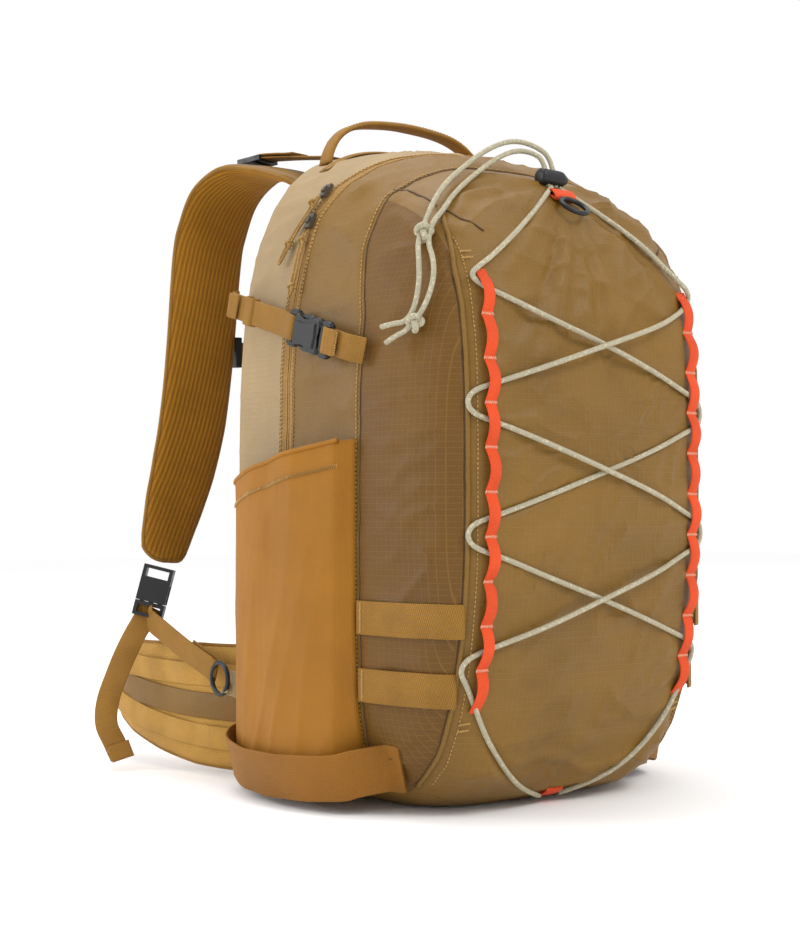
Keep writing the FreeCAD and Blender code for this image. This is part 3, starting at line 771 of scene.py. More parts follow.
def stitches(name, points, normals_out, body, gap=3.0, length=2.1, material="stitch", lift=0.5):
    """A row of thread dashes along a line; normals_out is the outward direction at a point."""
    path, at = curve_through(points, gap)
    parts_v, parts_f = [], []
    for a, b in zip(path, path[1:]):
        out = np.array(normals_out(a), float)
        out /= np.linalg.norm(out)
        along = (b - a) / np.linalg.norm(b - a)
        side = np.cross(along, out) * 0.42
        end = a + along * length
        base = len(parts_v)
        for p, rise in ((a, 0.0), (a + along * length * 0.5, 0.5), (end, 0.0)):
            for s in (-1, 1):
                parts_v.append(tuple(p + side * s + out * (lift - 0.6)))
                parts_v.append(tuple(p + side * s + out * (lift + rise)))
        for k in (0, 4):
            q = base + k
            parts_f += [(q + 1, q + 3, q + 7, q + 5), (q, q + 1, q + 5, q + 4),
                        (q + 3, q + 2, q + 6, q + 7), (q + 2, q, q + 4, q + 6)]
    obj = link(name, parts_v, parts_f, MAT[material])
    return place(obj, body, "webbing")


def bag_normal(point):
    """Outward direction of the bag's surface near a point."""
    x, y, z = point
    slope = (fullness(x + 1, y, z) - fullness(x - 1, y, z), fullness(x, y + 1, z) - fullness(x, y - 1, z),
             fullness(x, y, z + 1) - fullness(x, y, z - 1))
    return Vector(slope if any(slope) else (0, -1, 0)).normalized()


# ---- seams, zips and piping -------------------------------------------------
def lifted(points, out):
    """Points brought onto the bag's cloth and raised from it."""
    moved = []
    for p in points:
        place_at, normal, _, _ = SKIN["tree"].find_nearest(Vector(p) * MM)
        moved.append(tuple(place_at / MM + normal * out))
    return moved


def cloth_normal(point):
    """Outward direction of the finished cloth."""
    return SKIN["tree"].find_nearest(Vector(point) * MM)[1]


def on_cloth(name, points, step, out, radius, material, sides, body, slot="shell_fabric"):
    """A round line of cord, coil or shadow that lies along the cloth."""
    line = lifted(curve_through(points, step)[0], out)
    return place(round_tube(name, line, radius, MAT[material], sides), body, slot)


def beside(line, shift):
    """The line over the bag a little in front of or behind a seam."""
    return over_top([(y + shift, z) for y, z in line])


def build_seams():
    """Zip coils, seams with cords of painted shade along them, piping with its painted shadow, and
    top-stitching.
    """
    for name, shift, body in (("zip_coil_front", -1.3, "front"), ("zip_coil_rear", 1.3, "bag")):
        on_cloth(name, beside(ZIP_LINE, shift), 3.0, -0.1, 0.95, "coil", 8, body, "zip_tape")
    # Painted shade: a dark cord sunk along the zip's middle stands for the shade in the gap between the coils
    on_cloth("zip_split_shadow", SEAMS["zip"], 3.0, -0.6, 0.7, "seam", 6, "bag", "zip_tape")
    for shift, body in ((-7.6, "front"), (7.6, "bag"), (-9.6, "front"), (9.6, "bag")):
        line = lifted(curve_through(beside(ZIP_LINE, shift), 6)[0], 0.1)
        stitches("zip_stitch_%s_%d" % (body, abs(shift)), line, cloth_normal, body, 3.4)
    # Painted shade: a dark cord along the side seam stands for the shade in its crease
    on_cloth("side_seam_shadow", SEAMS["side"], 4.0, -0.1, 0.8, "seam", 8, "front")
    stitches("side_seam_stitch", lifted(beside(SEAM_LINE, 3.5), 0.1), cloth_normal, "front", 3.4)
    for name, s in SIDES:
        piping = [(s * (PIPING_X + 0.5), front_y(PIPING_X, z), z) for z in np.arange(22, 402, 8.0)]
        piping += [(s * x, y, z) for x, y, z in DART[3:1:-1]]
        on_cloth("piping_" + name, piping, 4.0, 0.6, 2.0, "shell", 10, "front")
        shade = [(x + s * 2.2, y, z) for x, y, z in piping]
        on_cloth("piping_shade_" + name, shade, 4.0, -0.1, 0.8, "seam", 6, "front")
        # Painted shade: a dark cord along the dart stands for the shade in its crease
        dart = [(s * x, y, z) for x, y, z in DART[:3] + DART[4:]]
        on_cloth("dart_shadow_" + name, dart, 4.0, -0.1, 0.9, "seam", 6, "front")
        inner_x = PIPING_X - 6
        inner = [(s * inner_x, front_y(inner_x, z), z) for z in np.arange(26, 434, 8.0)]
        stitches("panel_stitch_" + name, lifted(inner, 0.1), cloth_normal, "front", 3.4)
    back = [(x, 112, top_z(x, 112) + 1.0) for x in np.arange(-96, 97, 8.0)]
    web("back_zip_tape", back, 13.0, (0, 1, 0), "bag", "back_zip", thick=1.4, colour="zip_tape",
        slot="zip_tape")
    raised = curve_through([(x, y, z + 0.8) for x, y, z in back], 3.0)[0]
    place(round_tube("back_zip_coil", raised, 1.3, MAT["coil"], 8), "bag", "zip_tape")
    build_fold()


def build_fold(columns=24, rows=6):
    """The strip of cloth under the foot, along the fold that the front opens on."""
    def point(i, j):
        x = -100 + 200 * i / columns
        y = FOLD_Y + 7 - 14 * j / rows
        half, n, height = half_hoop(y, 0)
        foot = MID_Z - height * (1 - (abs(x) / half) ** n) ** (1 / n)
        return x, y, max(0.0, foot) + 1.6
    strip = cloth_grid("fold_strip", columns, rows, point, MAT["shell"], (0, 1))
    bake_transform(strip)


def knot(name, centre, radius, cord_radius, material):
    """An overhand knot pulled tight: a trefoil squeezed into a ball."""
    line = []
    for t in np.linspace(0, 2 * math.pi, 90):
        x, y, z = (math.sin(t) + 2 * math.sin(2 * t), math.cos(t) - 2 * math.cos(2 * t), -math.sin(3 * t))
        scale = (radius - cord_radius) / 3.0
        line.append((centre[0] + x * scale * 0.85, centre[1] + z * scale * 1.7, centre[2] + y * scale * 1.05))
    return round_tube(name, line, cord_radius * 1.2, material, 12)


def free_cord(name, route, diameter, material, body, node, knots=()):
    """A cord on its spline, braided, with its knots."""
    path = spline_path(route)
    slot = "pull_cord" if diameter < 3 else "lacing_cord"
    cord = place(round_tube(name, path, diameter / 2, material, 14), body, slot, *node)
    tied = [place(knot("%s_knot_%d" % (name, index), centre, radius, diameter / 2, material), body, slot)
            for index, (centre, radius) in enumerate(knots)]
    [c * MM for c in path[0]]
    [[c * MM for c in p] for p in path]


def build_cords():
    """The lacing, its free ends and the zip pulls."""
    for name, route in (("lace_left", LACE), ("lace_right", LACE_RIGHT)):
        free_cord(name + "_cord", route, 4.0, MAT["cord"], "front", [name])
    free_cord("tail_cord_a", TAIL_A, 4.0, MAT["cord"], "front", ["tail_cords", "tail_knots"], TAIL_KNOTS)
    free_cord("tail_cord_b", TAIL_B, 4.0, MAT["cord"], "front", ["tail_cords"])
    for name, (strand, knots) in PULLS.items():
        back = [(x, y + 3.0, z + 0.6) for x, y, z in strand[::-1]]
        free_cord("zip_pull_cord_" + name, strand + back, 2.2, MAT["pull"], "slider_" + name,
                  ["zip_pull_" + name], knots)


# ---- webbing ----------------------------------------------------------------
def tack(name, centre, along, across, width, body, material="stitch", length=2.0, rise=0.6):
    """A bar tack: close zigzag stitching across a strap."""
    along, across = np.array(along, float), np.array(across, float)
    along /= np.linalg.norm(along)
    across /= np.linalg.norm(across)
    centre = np.array(centre, float)
    line = []
    count = max(6, int(width / 0.9))
    for i in range(count + 1):
        swing = length / 2 * (1 if i % 2 else -1)
        line.append(centre + across * (i / count - 0.5) * width + along * swing)
    dense = [a + (b - a) * t for a, b in zip(line, line[1:]) for t in (0, 0.5)] + [line[-1]]
    return place(round_tube(name, dense, rise, MAT[material], 6), body, "webbing")


def moulding(name, outline, low, high, lay, material, bevel=0.9):
    """A moulded plate from an outline, its edges rounded; lay turns its own point into the row's."""
    mesh = bmesh.new()
    floor = [mesh.verts.new((x, y, low)) for x, y in outline]
    roof = [mesh.verts.new((x, y, high)) for x, y in outline]
    mesh.faces.new(floor[::-1])
    mesh.faces.new(roof)
    for k in range(len(outline)):
        n = (k + 1) % len(outline)
        mesh.faces.new((floor[k], floor[n], roof[n], roof[k]))
    rims = [e for e in mesh.edges if abs(e.verts[0].co.z - e.verts[1].co.z) < 1e-6]
    bmesh.ops.bevel(mesh, geom=rims, offset=bevel, segments=3, affect="EDGES")
    for v in mesh.verts:
        v.co = Vector(lay(*v.co)) * MM
    bmesh.ops.recalc_face_normals(mesh, faces=mesh.faces)
    data = bpy.data.meshes.new(name)
    mesh.to_mesh(data)
    mesh.free()
    data.materials.append(material)
    data.polygons.foreach_set("use_smooth", [len(p.vertices) < 5 for p in data.polygons])
    return add_object(name, data)


def flipped(outline):
    """An outline's mirror image."""
    return [(x, -y) for x, y in outline]


def both_ways(half):
    """An outline given for y above zero, closed below it."""
    return half + [(x, -y) for x, y in half[::-1] if y > 0]


# Outlines of the side-release buckle: distance along from its webbing bar, distance from its middle
SOCKET_BODY = [(11, 0), (11, 11), (11.6, 14), (15, 12.6), (19, 9.8), (24, 8.8), (29, 9.4), (33, 11.6),
               (36, 13.8), (42, 14.2), (46, 13), (47, 9.5), (45, 5), (44, 0)]
SOCKET_DOME = [(14, 0), (14, 7), (17, 7.4), (24, 6), (30, 6.6), (36, 9.8), (42, 10), (43, 0)]
SOCKET_SIDE = [(0.8, 10), (1.4, 12.6), (4, 14.4), (9, 14.8), (12.4, 14.2), (12.4, 10.6), (3.4, 10.6)]
PRONG = [(18, 10.8), (21, 13.2), (26, 14.4), (32, 14.3), (37, 13.0), (37, 10.4), (31, 11.7), (25, 11.5)]
PLUG_END = [(47.8, 9), (48.2, 12.6), (51, 14.5), (57, 14.3), (60.4, 12.2), (60.8, 10.4), (58, 10.4),
            (50.6, 10.4)]
BUCKLE_AT = 88.3
LASH_LEVELS = (96.5, 146.5)


def build_side_buckle(name, s, at, across):
    """Side-release buckle: a waisted socket and a plug whose prongs show at its flanks."""
    across = np.array(across) / np.linalg.norm(across)

    def lay(x, y, z):
        return tuple(np.array(at(BUCKLE_AT + x, z)) + across * y)
    parts = [("body", "bag", both_ways(SOCKET_BODY), -3.4, 3.4, 1.2),
             ("dome", "bag", both_ways(SOCKET_DOME), 2.6, 4.7, 0.9),
             ("side_a", "bag", SOCKET_SIDE, -2.4, 2.4, 0.7),
             ("side_b", "bag", flipped(SOCKET_SIDE), -2.4, 2.4, 0.7),
             ("bar", "bag", both_ways([(0.8, 0), (0.8, 11), (3.4, 11), (3.4, 0)]), -1.5, 1.6, 0.5),
             ("prong_a", "front", PRONG, -2.2, 2.2, 0.6),
             ("prong_b", "front", flipped(PRONG), -2.2, 2.2, 0.6),
             ("end_a", "front", PLUG_END, -2.4, 2.4, 0.6),
             ("end_b", "front", flipped(PLUG_END), -2.4, 2.4, 0.6),
             ("end_bar", "front", both_ways([(47.8, 0), (47.8, 12), (50.6, 12), (50.6, 0)]), -2.4, 2.4, 0.6),
             ("tab_bar", "front", both_ways([(58, 0), (58, 11.6), (60.8, 11), (60.8, 0)]), -1.2, 1.4, 0.4)]
    for part, body, outline, low, high, bevel in parts:
        piece = moulding("buckle_%s_%s" % (part, name), outline, low, high, lay, MAT["plastic"], bevel)
        nodes = {("body", -1): ["side_sockets"], ("end_bar", -1): ["side_plugs"]}.get((part, s), [])
        place(piece, body, "buckle_plastic", *nodes)


def build_side_straps():
    """Compression straps with keeper, sewn tab and bar tacks; lash loops."""
    for name, s in SIDES:
        start, end = np.array([-163.2, 143.0, 396.0]), np.array([-163.2, -24.0, 345.0])
        along = (end - start) / np.linalg.norm(end - start)

        def at(d, out=0.0):
            """A point a way along the strap, raised from it."""
            p = start + along * d
            return (-s * (p[0] - out), p[1], p[2])
        across = (0, along[2], -along[1])
        route = [(s * 156.5, 148.5, 398.5), at(-2, 1.4), at(20, 1.4), at(40, 0.4), at(70, -1.6),
                 at(86, -2.9), at(93, -2.9), at(96.5, -1.6), at(97.6, 0.6), at(96.0, 3.0), at(91, 3.6),
                 at(85, 2.2), at(72, 1.2), at(56, 2.6), at(40, 3.2), at(31, 3.4), at(20, 3.4), at(8, 4.8),
                 at(3.5, 6.4), at(4.5, 7.9), at(9, 7.2), at(16, 6.0)]
        web("side_web_" + name, route, 20, across, "bag", *held_by_left(s, "side_webs"), step=1.8,
            ripple=0.12)
        keeper = [at(26, -1.4), at(24.6, 1.6), at(26, 5.0), at(31, 5.6), at(36, 5.0), at(37.4, 1.6),
                  at(36, -1.4)]
        web("side_keeper_" + name, keeper, 23, across, "bag", *held_by_left(s, "side_keepers"), thick=1.2,
            step=1.2)
        tab = [at(157, 1.6), at(150, 2.6), at(143, 3.4), at(140, 1.8), at(139.6, -0.4), at(142, -2.4),
               at(150, -2.2), at(160, -2.2), at(168, -4.0), (s * 156.2, -23, 345.4),
               (s * 152.6, -28.6, 343.7)]
        tab = web("side_tab_" + name, tab, 20, across, "front", *held_by_left(s, "side_tabs"), step=1.5)
        settle(tab, 0.2)
        tack("side_tab_tack_" + name, at(157, 1.6), along, across, 18, "front")
        build_side_buckle(name, s, at, across)
        for level in LASH_LEVELS:
            line = []
            for i in range(16):
                y = SEAM_LINE[0][0] + 1 - i * 5.4
                x = side_x(y, level)
                if x > PIPING_X + 1:
                    out = 1.2 + 2.6 * math.sin(math.pi * min(1.0, i / 14)) ** 0.6
                    n = bag_normal((s * x, y, level))
                    line.append((s * x + n.x * out, y + n.y * out, level))
            line.append((s * (PIPING_X + 0.5), front_y(PIPING_X + 0.5, level) - 0.6, level))
            nodes = held_by_left(s, "lash_loops") if level == LASH_LEVELS[0] else []
            settle(web("lash_loop_%s_%d" % (name, level), line, 25, (0, 0, 1), "front", *nodes, step=2.5,
                       ripple=0.2))
            for index in (1, -2):
                p = np.array(line[index])
                tack("lash_tack_%s_%d_%d" % (name, level, index), p + np.array(bag_normal(line[index])) * 0.9,
                     p - np.array(line[index - 1]), (0, 0, 1), 22, "front")


def build_daisies():
    """Orange chains that stand off the front between bar tacks, with the lacing under them."""
    top, low, pitch, x0 = 394.0, 84.0, 32.0, 103.0
    tacks = [top - 27 - pitch * i for i in range(9)]
    for name, s in SIDES:
        line = []
        for z in np.arange(top + 6, low - 5, -2.0):
            after = [t for t in tacks if t <= z]
            before = [t for t in tacks if t > z]
            upper = before[-1] if before else top + 5
            lower = after[0] if after else low - 3
            share = max(0.0, min(1.0, (upper - z) / (upper - lower)))
            lift = 1.9 + (6.0 if z < top else 4.0) * math.sin(math.pi * share)
            sway = 0.5 * math.sin(math.pi * share) * (1 if len(before) % 2 else -1)
            line.append((s * (x0 + sway), front_y(x0, z) - lift, z))
        web("daisy_chain_" + name, line, 10, (1, 0, 0), "front", "daisy_" + name, step=2.0, ripple=0.12,
            colour="orange", slot="orange_webbing")
        for z in tacks:
            tack("daisy_tack_%s_%d" % (name, z), (s * x0, front_y(x0, z) - 3.2, z), (0, 0, 1), (1, 0, 0), 11,
                 "front", "tack", 2.2, 0.55)
        for z in (top + 15, low - 17):
            for k in (0, 5.0):
                centre = lifted([(s * (x0 + 5), front_y(x0 + 4, z + k), z + k)], 0.7)[0]
                tack("end_tack_%s_%d_%d" % (name, z, k), centre, (0, 0, 1), (1, s * 0.25, 0.1), 9,
                     "front", "stitch", 1.4, 0.5)
    tab = [(0, -70, 470.5), (0, -71.5, 473.2), (0, -75.5, 474.2), (0, -79.5, 471.0), (0, -81.5, 467.5),
           (0, -80.0, 465.8), (0, -77, 468.3), (0, -73.5, 470.2)]
    web("anchor_loop", tab, 22, (1, 0, 0), "front", "anchor_tab", thick=1.3, step=1.4, colour="orange",
        slot="orange_webbing")
    foot = [(0, -52, 4.0), (0, -57, 5.2), (0, -63, 8.0), (0, -67, 10.8), (0, -65.5, 12.2), (0, -60, 8.6),
            (0, -54, 6.2)]
    web("base_loop", foot, 17, (1, 0, 0), "front", "base_tab", thick=1.3, step=1.4, colour="orange",
        slot="orange_webbing")


def build_haul_loop():
    """The haul handle's webbing with its bar tacks and edge stitching."""
    half = [(-84, 520), (-81, 531), (-74, 543), (-62, 552.5), (-40, 559.5), (0, 562.5)]
    arch = [(x, 127, z) for x, z in half] + [(-x, 127, z) for x, z in half[-2::-1]]
    web("haul_web", arch, 17, (0, 1, 0), "handle", "haul_loop", thick=4.2, ripple=0.25)
    for side in (-1, 1):
        for k in (0, 7):
            centre = (side * (77.5 - k * 0.9), 127, 540.5 + k)
            tack("haul_tack_%d_%d" % (side, k), centre, (side * 0.5, 0, -0.85), (0, 1, 0), 15, "handle")
    for edge in (-6.3, 6.3):
        line = [(x, y + edge, z + 2.3) for x, y, z in arch[2:-2]]
        stitches("haul_stitch_%d" % (edge > 0), line, lambda _: (0, 0, 1), "handle", 3.4, 2.4, "stitch", 0.2)


# ---- pads -------------------------------------------------------------------
# Middle of the strip and its width, along the shoulder pad from its top and the hip wing from the bag
PAD = [
    (-62, 153, 502, 40), (-63, 173, 511, 42), (-66, 190, 520, 54), (-74, 222, 530, 62), (-84, 255, 532, 66),
    (-91, 284, 516, 68), (-97, 297, 486, 68), (-102, 299, 455, 68), (-112, 293, 372, 66),
    (-122, 288, 310, 64), (-134, 284, 264, 60), (-145, 281, 231, 54), (-156, 277, 198, 44),
    (-161, 273, 182, 34)]
WING = [
    (-104, 157, 58, 98), (-116, 164, 58, 100), (-134, 188, 58, 104), (-149, 225, 59, 102),
    (-158, 270, 62, 94), (-162, 315, 67, 82), (-161, 352, 74, 64)]
# Middle of the loose strap tail
TAIL = [
    (-175, 279, 131), (-186, 281, 112), (-198, 283, 86), (-208, 283, 60), (-210, 282, 40), (-204, 279, 24),
    (-198, 277, 10)]


def wide_rows(stations, step):
    """Smooth rows of centre and width through the stations, ends rounded."""
    path, at = curve_through([s[:3] for s in stations], step)
    given = [0.0]
    for a, b in zip(stations, stations[1:]):
        given.append(given[-1] + math.dist(a[:3], b[:3]))
    given = np.array(given) * at[-1] / given[-1]
    return path, at, np.interp(at, given, [s[3] for s in stations])


def padded_strip(name, s, stations, thick, across, faces_of, span, replaced, rounding=8.0):
    """A foam strip with a cover on each face and a bound edge all round."""
    path, at, width = wide_rows(stations, 3.0)
    wide, through = frames(path, across)

    def half_width(i):
        """Half the width, rounded off at the far end."""
        left = at[-1] - at[i]
        if left >= rounding:
            return width[i] / 2
        return width[i] / 2 * math.sqrt(max(0.15, 1 - (1 - left / rounding) ** 2))
    columns = 22
    ring = 2 * columns
    vertices, laid, faces, covers = [], [], [], []
    for i, (c, w, t) in enumerate(zip(path, wide, through)):
        for j in range(ring):
            face = 1 if j < columns else -1
            u = -1 + 2 * (j if j < columns else ring - 1 - j) / (columns - 1)
            puff = (1 - abs(u) ** 3.2) ** 0.55
            depth = thick / 2 * (0.22 + 0.78 * puff)
            depth += noise.noise(Vector((c[0] / 22, c[1] / 22, c[2] / 22 + face * 5))) * 0.7 * puff
            x, y, z = c + w * half_width(i) * u + t * depth * face
            vertices.append((-s * x, y, z))
            laid.append((u * half_width(i) * MM, at[i] * MM))
    for i in range(len(path) - 1):
        for j in range(ring):
            k = (j + 1) % ring
            faces.append((i * ring + j, i * ring + k, (i + 1) * ring + k, (i + 1) * ring + j))
            covers.append(0 if j < columns - 1 else 1)
    for base in (0, (len(path) - 1) * ring):
        for j in range(columns - 1):
            faces.append((base + j, base + j + 1, base + ring - 2 - j, base + ring - 1 - j))
            covers.append(1)
    pad = link(name, vertices, faces, faces_of[0], [laid[v] for f in faces for v in f])
    pad.data.materials.append(faces_of[1])
    for polygon, cover in zip(pad.data.polygons, covers):
        polygon.material_index = cover
    mesh = bmesh.new()
    mesh.from_mesh(pad.data)
    bmesh.ops.recalc_face_normals(mesh, faces=mesh.faces)
    mesh.to_mesh(pad.data)
    mesh.free()
    edges = [[path[i] + wide[i] * half_width(i) * side for i in range(len(path))] for side in (-1, 1)]
    loop = on_side(s, edges[0] + edges[1][::-1])
    line = curve_through(loop[::2] + [loop[-1]], 3.0)[0]
    for obj in (pad, round_tube(name + "_binding", line, 2.0, MAT["web"], 8)):
        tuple(span[2])
        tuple(span[3])
        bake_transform(obj)
    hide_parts(replaced)
    return path, at, wide, through


def build_shoulders():
    """Shoulder pads, load lifters, lower straps and long tails."""
    for name, s in SIDES:
        body = "strap_" + name
        span = ("bag", body, (0, 0.160, 0.5), (0, 0.196, 0.5))
        padded_strip("shoulder_" + name, s, PAD, 11.5, (1, 0, 0), (MAT["mesh"], MAT["shell"]), span,
                     "shoulder_pad_" + name)
        lifter = [(-61, 146, 532), (-62, 158, 534), (-66, 202, 541.5), (-76, 232, 544.5), (-78, 240, 544.6)]
        lifter = strap("load_lifter_" + name, on_side(s, lifter), 20, 1.5, (1, 0, 0), MAT["web"])
        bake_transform(lifter)
        end = [(-79, 243, 546.5), (-76, 232, 547.4), (-71, 216, 546.2), (-68, 203, 544.4),
               (-66.5, 195, 543.6)]
        web("lifter_end_" + name, on_side(s, end), 20, (1, 0, 0), body)
        lower = [(-172.5, 276, 140), (-173.5, 271, 130), (-172, 250, 121), (-168, 214, 106),
                 (-164.2, 186, 95.5), (-162.6, 179.5, 92.0), (-160.0, 177.6, 90.5), (-158.4, 181.5, 92.5),
                 (-160.6, 190, 97), (-164.6, 212, 106.5)]
        web("lower_web_" + name, on_side(s, lower), 20, (0, -0.4, 1), body, "strap_webs_" + name, step=2.0)
        tack("lower_tack_" + name, (s * 165.8, 197, 100), (0, 0.93, 0.37), (0, -0.37, 0.93), 18, body)
        flat = (0.77 * -s, -0.64, 0)
        hang = on_side(s, [(-170, 277.5, 141)] + TAIL)
        web("long_tail_" + name, hang, 20, flat, body, step=2.0, ripple=0.3)
        hem = on_side(s, [(-197.0, 274.8, 9), (-199.6, 275.6, 16), (-202.0, 276.4, 23)])
        web("tail_hem_" + name, hem, 20.4, flat, body, thick=1.8, step=2.0)
        tack("tail_tack_" + name, (s * 201.5, 277.0, 15.5), (0.25 * s, 0.1, 1), flat, 18, body,
             "stitch", 2.0, 0.7)


def build_hips():
    """Hip wings with a ripstop strip between two rows of sewn webbing."""
    for name, s in SIDES:
        body = "hip_" + name
        span = ("bag", body, (-s * -0.112, 0.160, 0.06), (-s * -0.130, 0.190, 0.06))
        path, at, wide, through = padded_strip(
            "hip_" + name + "_wing", s, WING, 12.5, (0, 0, 1), (MAT["mesh"], MAT["wing"]), span,
            "hip_wing_" + name, 14.0)
        cover = []
        for lift, high, cloth in ((-27, 19, "wing"), (0, 22, "shell"), (28, 19, "wing")):
            line, count = [], len(path)
            for i in range(3, count - 3):
                fall = lift * (1 - 0.42 * (i / count) ** 2)
                wave = 1.1 * abs(math.sin(at[i] / 13.0)) if cloth == "wing" else 0.2
                outward = -1 if through[i][0] >= 0 else 1
                line.append(path[i] + through[i] * outward * (7.2 + wave) + wide[i] * fall)
            line = on_side(s, line)
            row = "%s_%d" % (name, lift + 30)
            cover.append(strap("wing_row_" + row, line, high, 1.4, (0, 0, 1), MAT[cloth], 2.5))
            for k in range(6, len(line) - 3, 13):
                if cloth == "wing":
                    tack("wing_tack_%s_%d" % (row, k), line[k], (0, 1, 0), (0, 0, 1), high - 1, body,
                         "stitch", 1.8, 0.9)
        for piece in cover:
            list(span[:2])
            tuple(span[2])
            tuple(span[3])
            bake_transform(piece)
        belt = [(-157, 342, 74), (-161, 353, 75.5), (-157, 365, 75), (-147, 375.5, 74), (-133, 381.5, 73)]
        web("hip_web_" + name, on_side(s, belt), 25, (0, 0, 1), body, "hip_webs_" + name)
        corner = [(-146, 147, 79), (-151.5, 149.5, 80), (-155.5, 152, 82), (-158.5, 160.5, 83.0),
                  (-160, 158.5, 84.5)]
        web("corner_tab_" + name, on_side(s, corner), 21, (0, 0, 1), "bag", *held_by_left(s, "corner_tabs"),
            thick=1.8, colour="rear", slot="side_fabric")
        chest = [(-72, 292.5, 374), (-69.6, 293, 374), (-50, 294.5, 373), (-35.4, 295, 372)]
        web("chest_strap_" + name, on_side(s, chest), 20, (0, 0, 1), "chest_" + name, "chest_web_" + name)


def build_back():
    """Channelled mesh back panel, lumbar pad, and what is sewn inside the bag."""
    def pad(name, rows, columns, low, high, half_at, y0, deep, material, groove):
        def point(i, j):
            z = low + (high - low) * i / rows
            u, v = -1 + 2 * j / columns, -1 + 2 * i / rows
            x = u * half_at(z)
            edge = min((1 - abs(u) ** 9), (1 - abs(v) ** 14))
            y = y0 + deep * max(0.0, edge) ** 0.5 - groove(x, z) * max(0.0, edge)
            return x, y + noise.noise(Vector((x / 30, z / 30, deep))) * 0.8 * edge, z
        return cloth_grid(name, rows, columns, point, material, (0, 2))

    def channel(x, z):
        centre = math.exp(-(x / 13) ** 2) * 6.0
        across = sum(math.exp(-((z - level) / 5) ** 2) for level in (130, 235, 340, 440)) * 3.5
        return centre + across * (1 if abs(x) > 20 else 0.4)
    back = pad("back_pad", 120, 70, 16, 525, lambda z: side_x(148, z) - 6, 148.2, 12.6, MAT["back_mesh"],
               channel)
    place(back, "bag", "back_mesh", "back_panel")
    lumbar = pad("lumbar_cushion", 40, 60, 24, 116, lambda z: 105.0, 158.5, 15.5, MAT["mesh"],
                 lambda x, z: 4.0 * math.exp(-(x / 9) ** 2))
    place(lumbar, "bag", "back_mesh", "lumbar_pad")
    for name, y, x, low, high, body, node in (
            ("sleeve", 139.6, 105, 60, 400, "bag", "hydration_sleeve"),
            ("organizer", -104.2, 78, 190, 330, "front", "organizer_pocket")):
        def point(i, j):
            across = -x + 2 * x * j / 20
            return across, y + 0.5 * math.sin(across / 9) * i / 30, low + (high - low) * i / 30
        place(cloth_grid(name + "_cloth", 30, 20, point, MAT["lining"], (0, 2), 0.8), body, "lining", node)


# ---- bottle pockets ---------------------------------------------------------
POCKET_REAR = 146
POCKET_DEEP = 160
POCKET_FOOT = 20


def build_pockets():
    """Stretch pockets with soft folds and a hemmed rim, and the elastic slings round their feet."""
    def wall(u, z, out=0.0):
        """A point of the pocket's cloth; u from 0 at the rear to 1 in front."""
        y = POCKET_REAR - POCKET_DEEP * u
        bow = 21 * (1 - (2 * u - 1) ** 2)
        edge = math.sin(math.pi * u) ** 0.5
        fold = noise.noise(Vector((u * 5.0 + z / 260, z / 300, 2.0))) * 6.0
        crease = 1 - abs(noise.noise(Vector((u * 4.2 - z / 130, z / 260, 5))))
        fold += 3.0 * crease ** 7 * (1.2 - z / 330) + noise.noise(Vector((u * 30, z / 40, 9))) * 0.5
        x = 159 + bow + fold * edge * 0.7 + out
        return x, y, z

    def rim(u):
        """Height of the slanting rim."""
        return 236 + (289 - 236) * (200 - (POCKET_REAR - POCKET_DEEP * u)) / 260
    for name, s in SIDES:
        columns, rows = 70, 80

        def point(j, i):
            u = j / columns
            top = rim(u)
            z = POCKET_FOOT + (top - POCKET_FOOT) * i / rows
            near_rim = max(0.0, 1 - (top - z) / 22)
            x, y, z = wall(u, z, 1.0 * near_rim ** 2)
            foot = max(0.0, 1 - (z - POCKET_FOOT) / 10)
            x -= 14 * foot ** 2
            ends = min(1.0, max(0.0, 1 - u / 0.05) + max(0.0, 1 - (1 - u) / 0.06))
            close = side_x(min(POCKET_REAR, max(-18, y)), z) + 0.8
            return s * (x * (1 - ends) + close * ends), y, z
        cloth = cloth_grid("pocket_cloth_" + name, columns, rows, point, MAT["stretch"], (1, 2), 1.4)
        cloth.modifiers["thickness"].offset = 0
        place(cloth, "bag", "stretch_fabric", "bottle_pocket_" + name)
        hem, zigzag = [], []
        for j in range(2, 160):
            u = 0.03 + 0.94 * j / 160
            top = rim(u)
            x, y, z = wall(u, top, 1.2)
            hem.append((s * x, y, z))
            drop = top - 19 + (1.3 if j % 2 else -1.3)
            x, y, z = wall(u, drop, 1.5)
            zigzag.append((s * x, y, drop))
        place(round_tube("pocket_rim_" + name, hem, 1.9, MAT["stretch"], 8), "bag", "stretch_fabric")
        place(round_tube("pocket_zigzag_" + name, zigzag, 0.45, MAT["stitch"], 5), "bag", "stretch_fabric")
        band = [(-side_x(y, 36.0) - 1.6, y, 36.0) for y in (-46, -36)]
        band += [(-157, -24, 32), (-168, -12, 28), (-180.5, 22, 25), (-185, 62, 23.5), (-182, 100, 24),
                 (-173, 130, 27), (-163, 145, 30), (-155, 150.5, 32), (-146, 151, 33)]
        sling = web("sling_" + name, on_side(s, band), 36, (0.25 * s, 0, 1), "bag",
                    *held_by_left(s, "pocket_bands"), thick=2.0, ripple=0.5, colour="band",
                    slot="elastic_band")
        settle(sling, ring=1)


# ---- moulded parts ----------------------------------------------------------
def turned(name, start, axis, profile, material, sides=28):
    """A turned part: (distance along the axis, radius) pairs."""
    axis = np.array(axis, float) / np.linalg.norm(axis)
    path = [np.array(start, float) + axis * d for d, _ in profile]
    side = np.cross(axis, (0, 0, 1.0))
    side /= np.linalg.norm(side)
    up = np.cross(axis, side)

    def outline(i):
        r = profile[i][1]
        return [(r * math.cos(2 * math.pi * k / sides), r * math.sin(2 * math.pi * k / sides))
                for k in range(sides)]
    count = len(path)
    return swept(name, path, [d for d, _ in profile], [side] * count, [up] * count, outline, material)


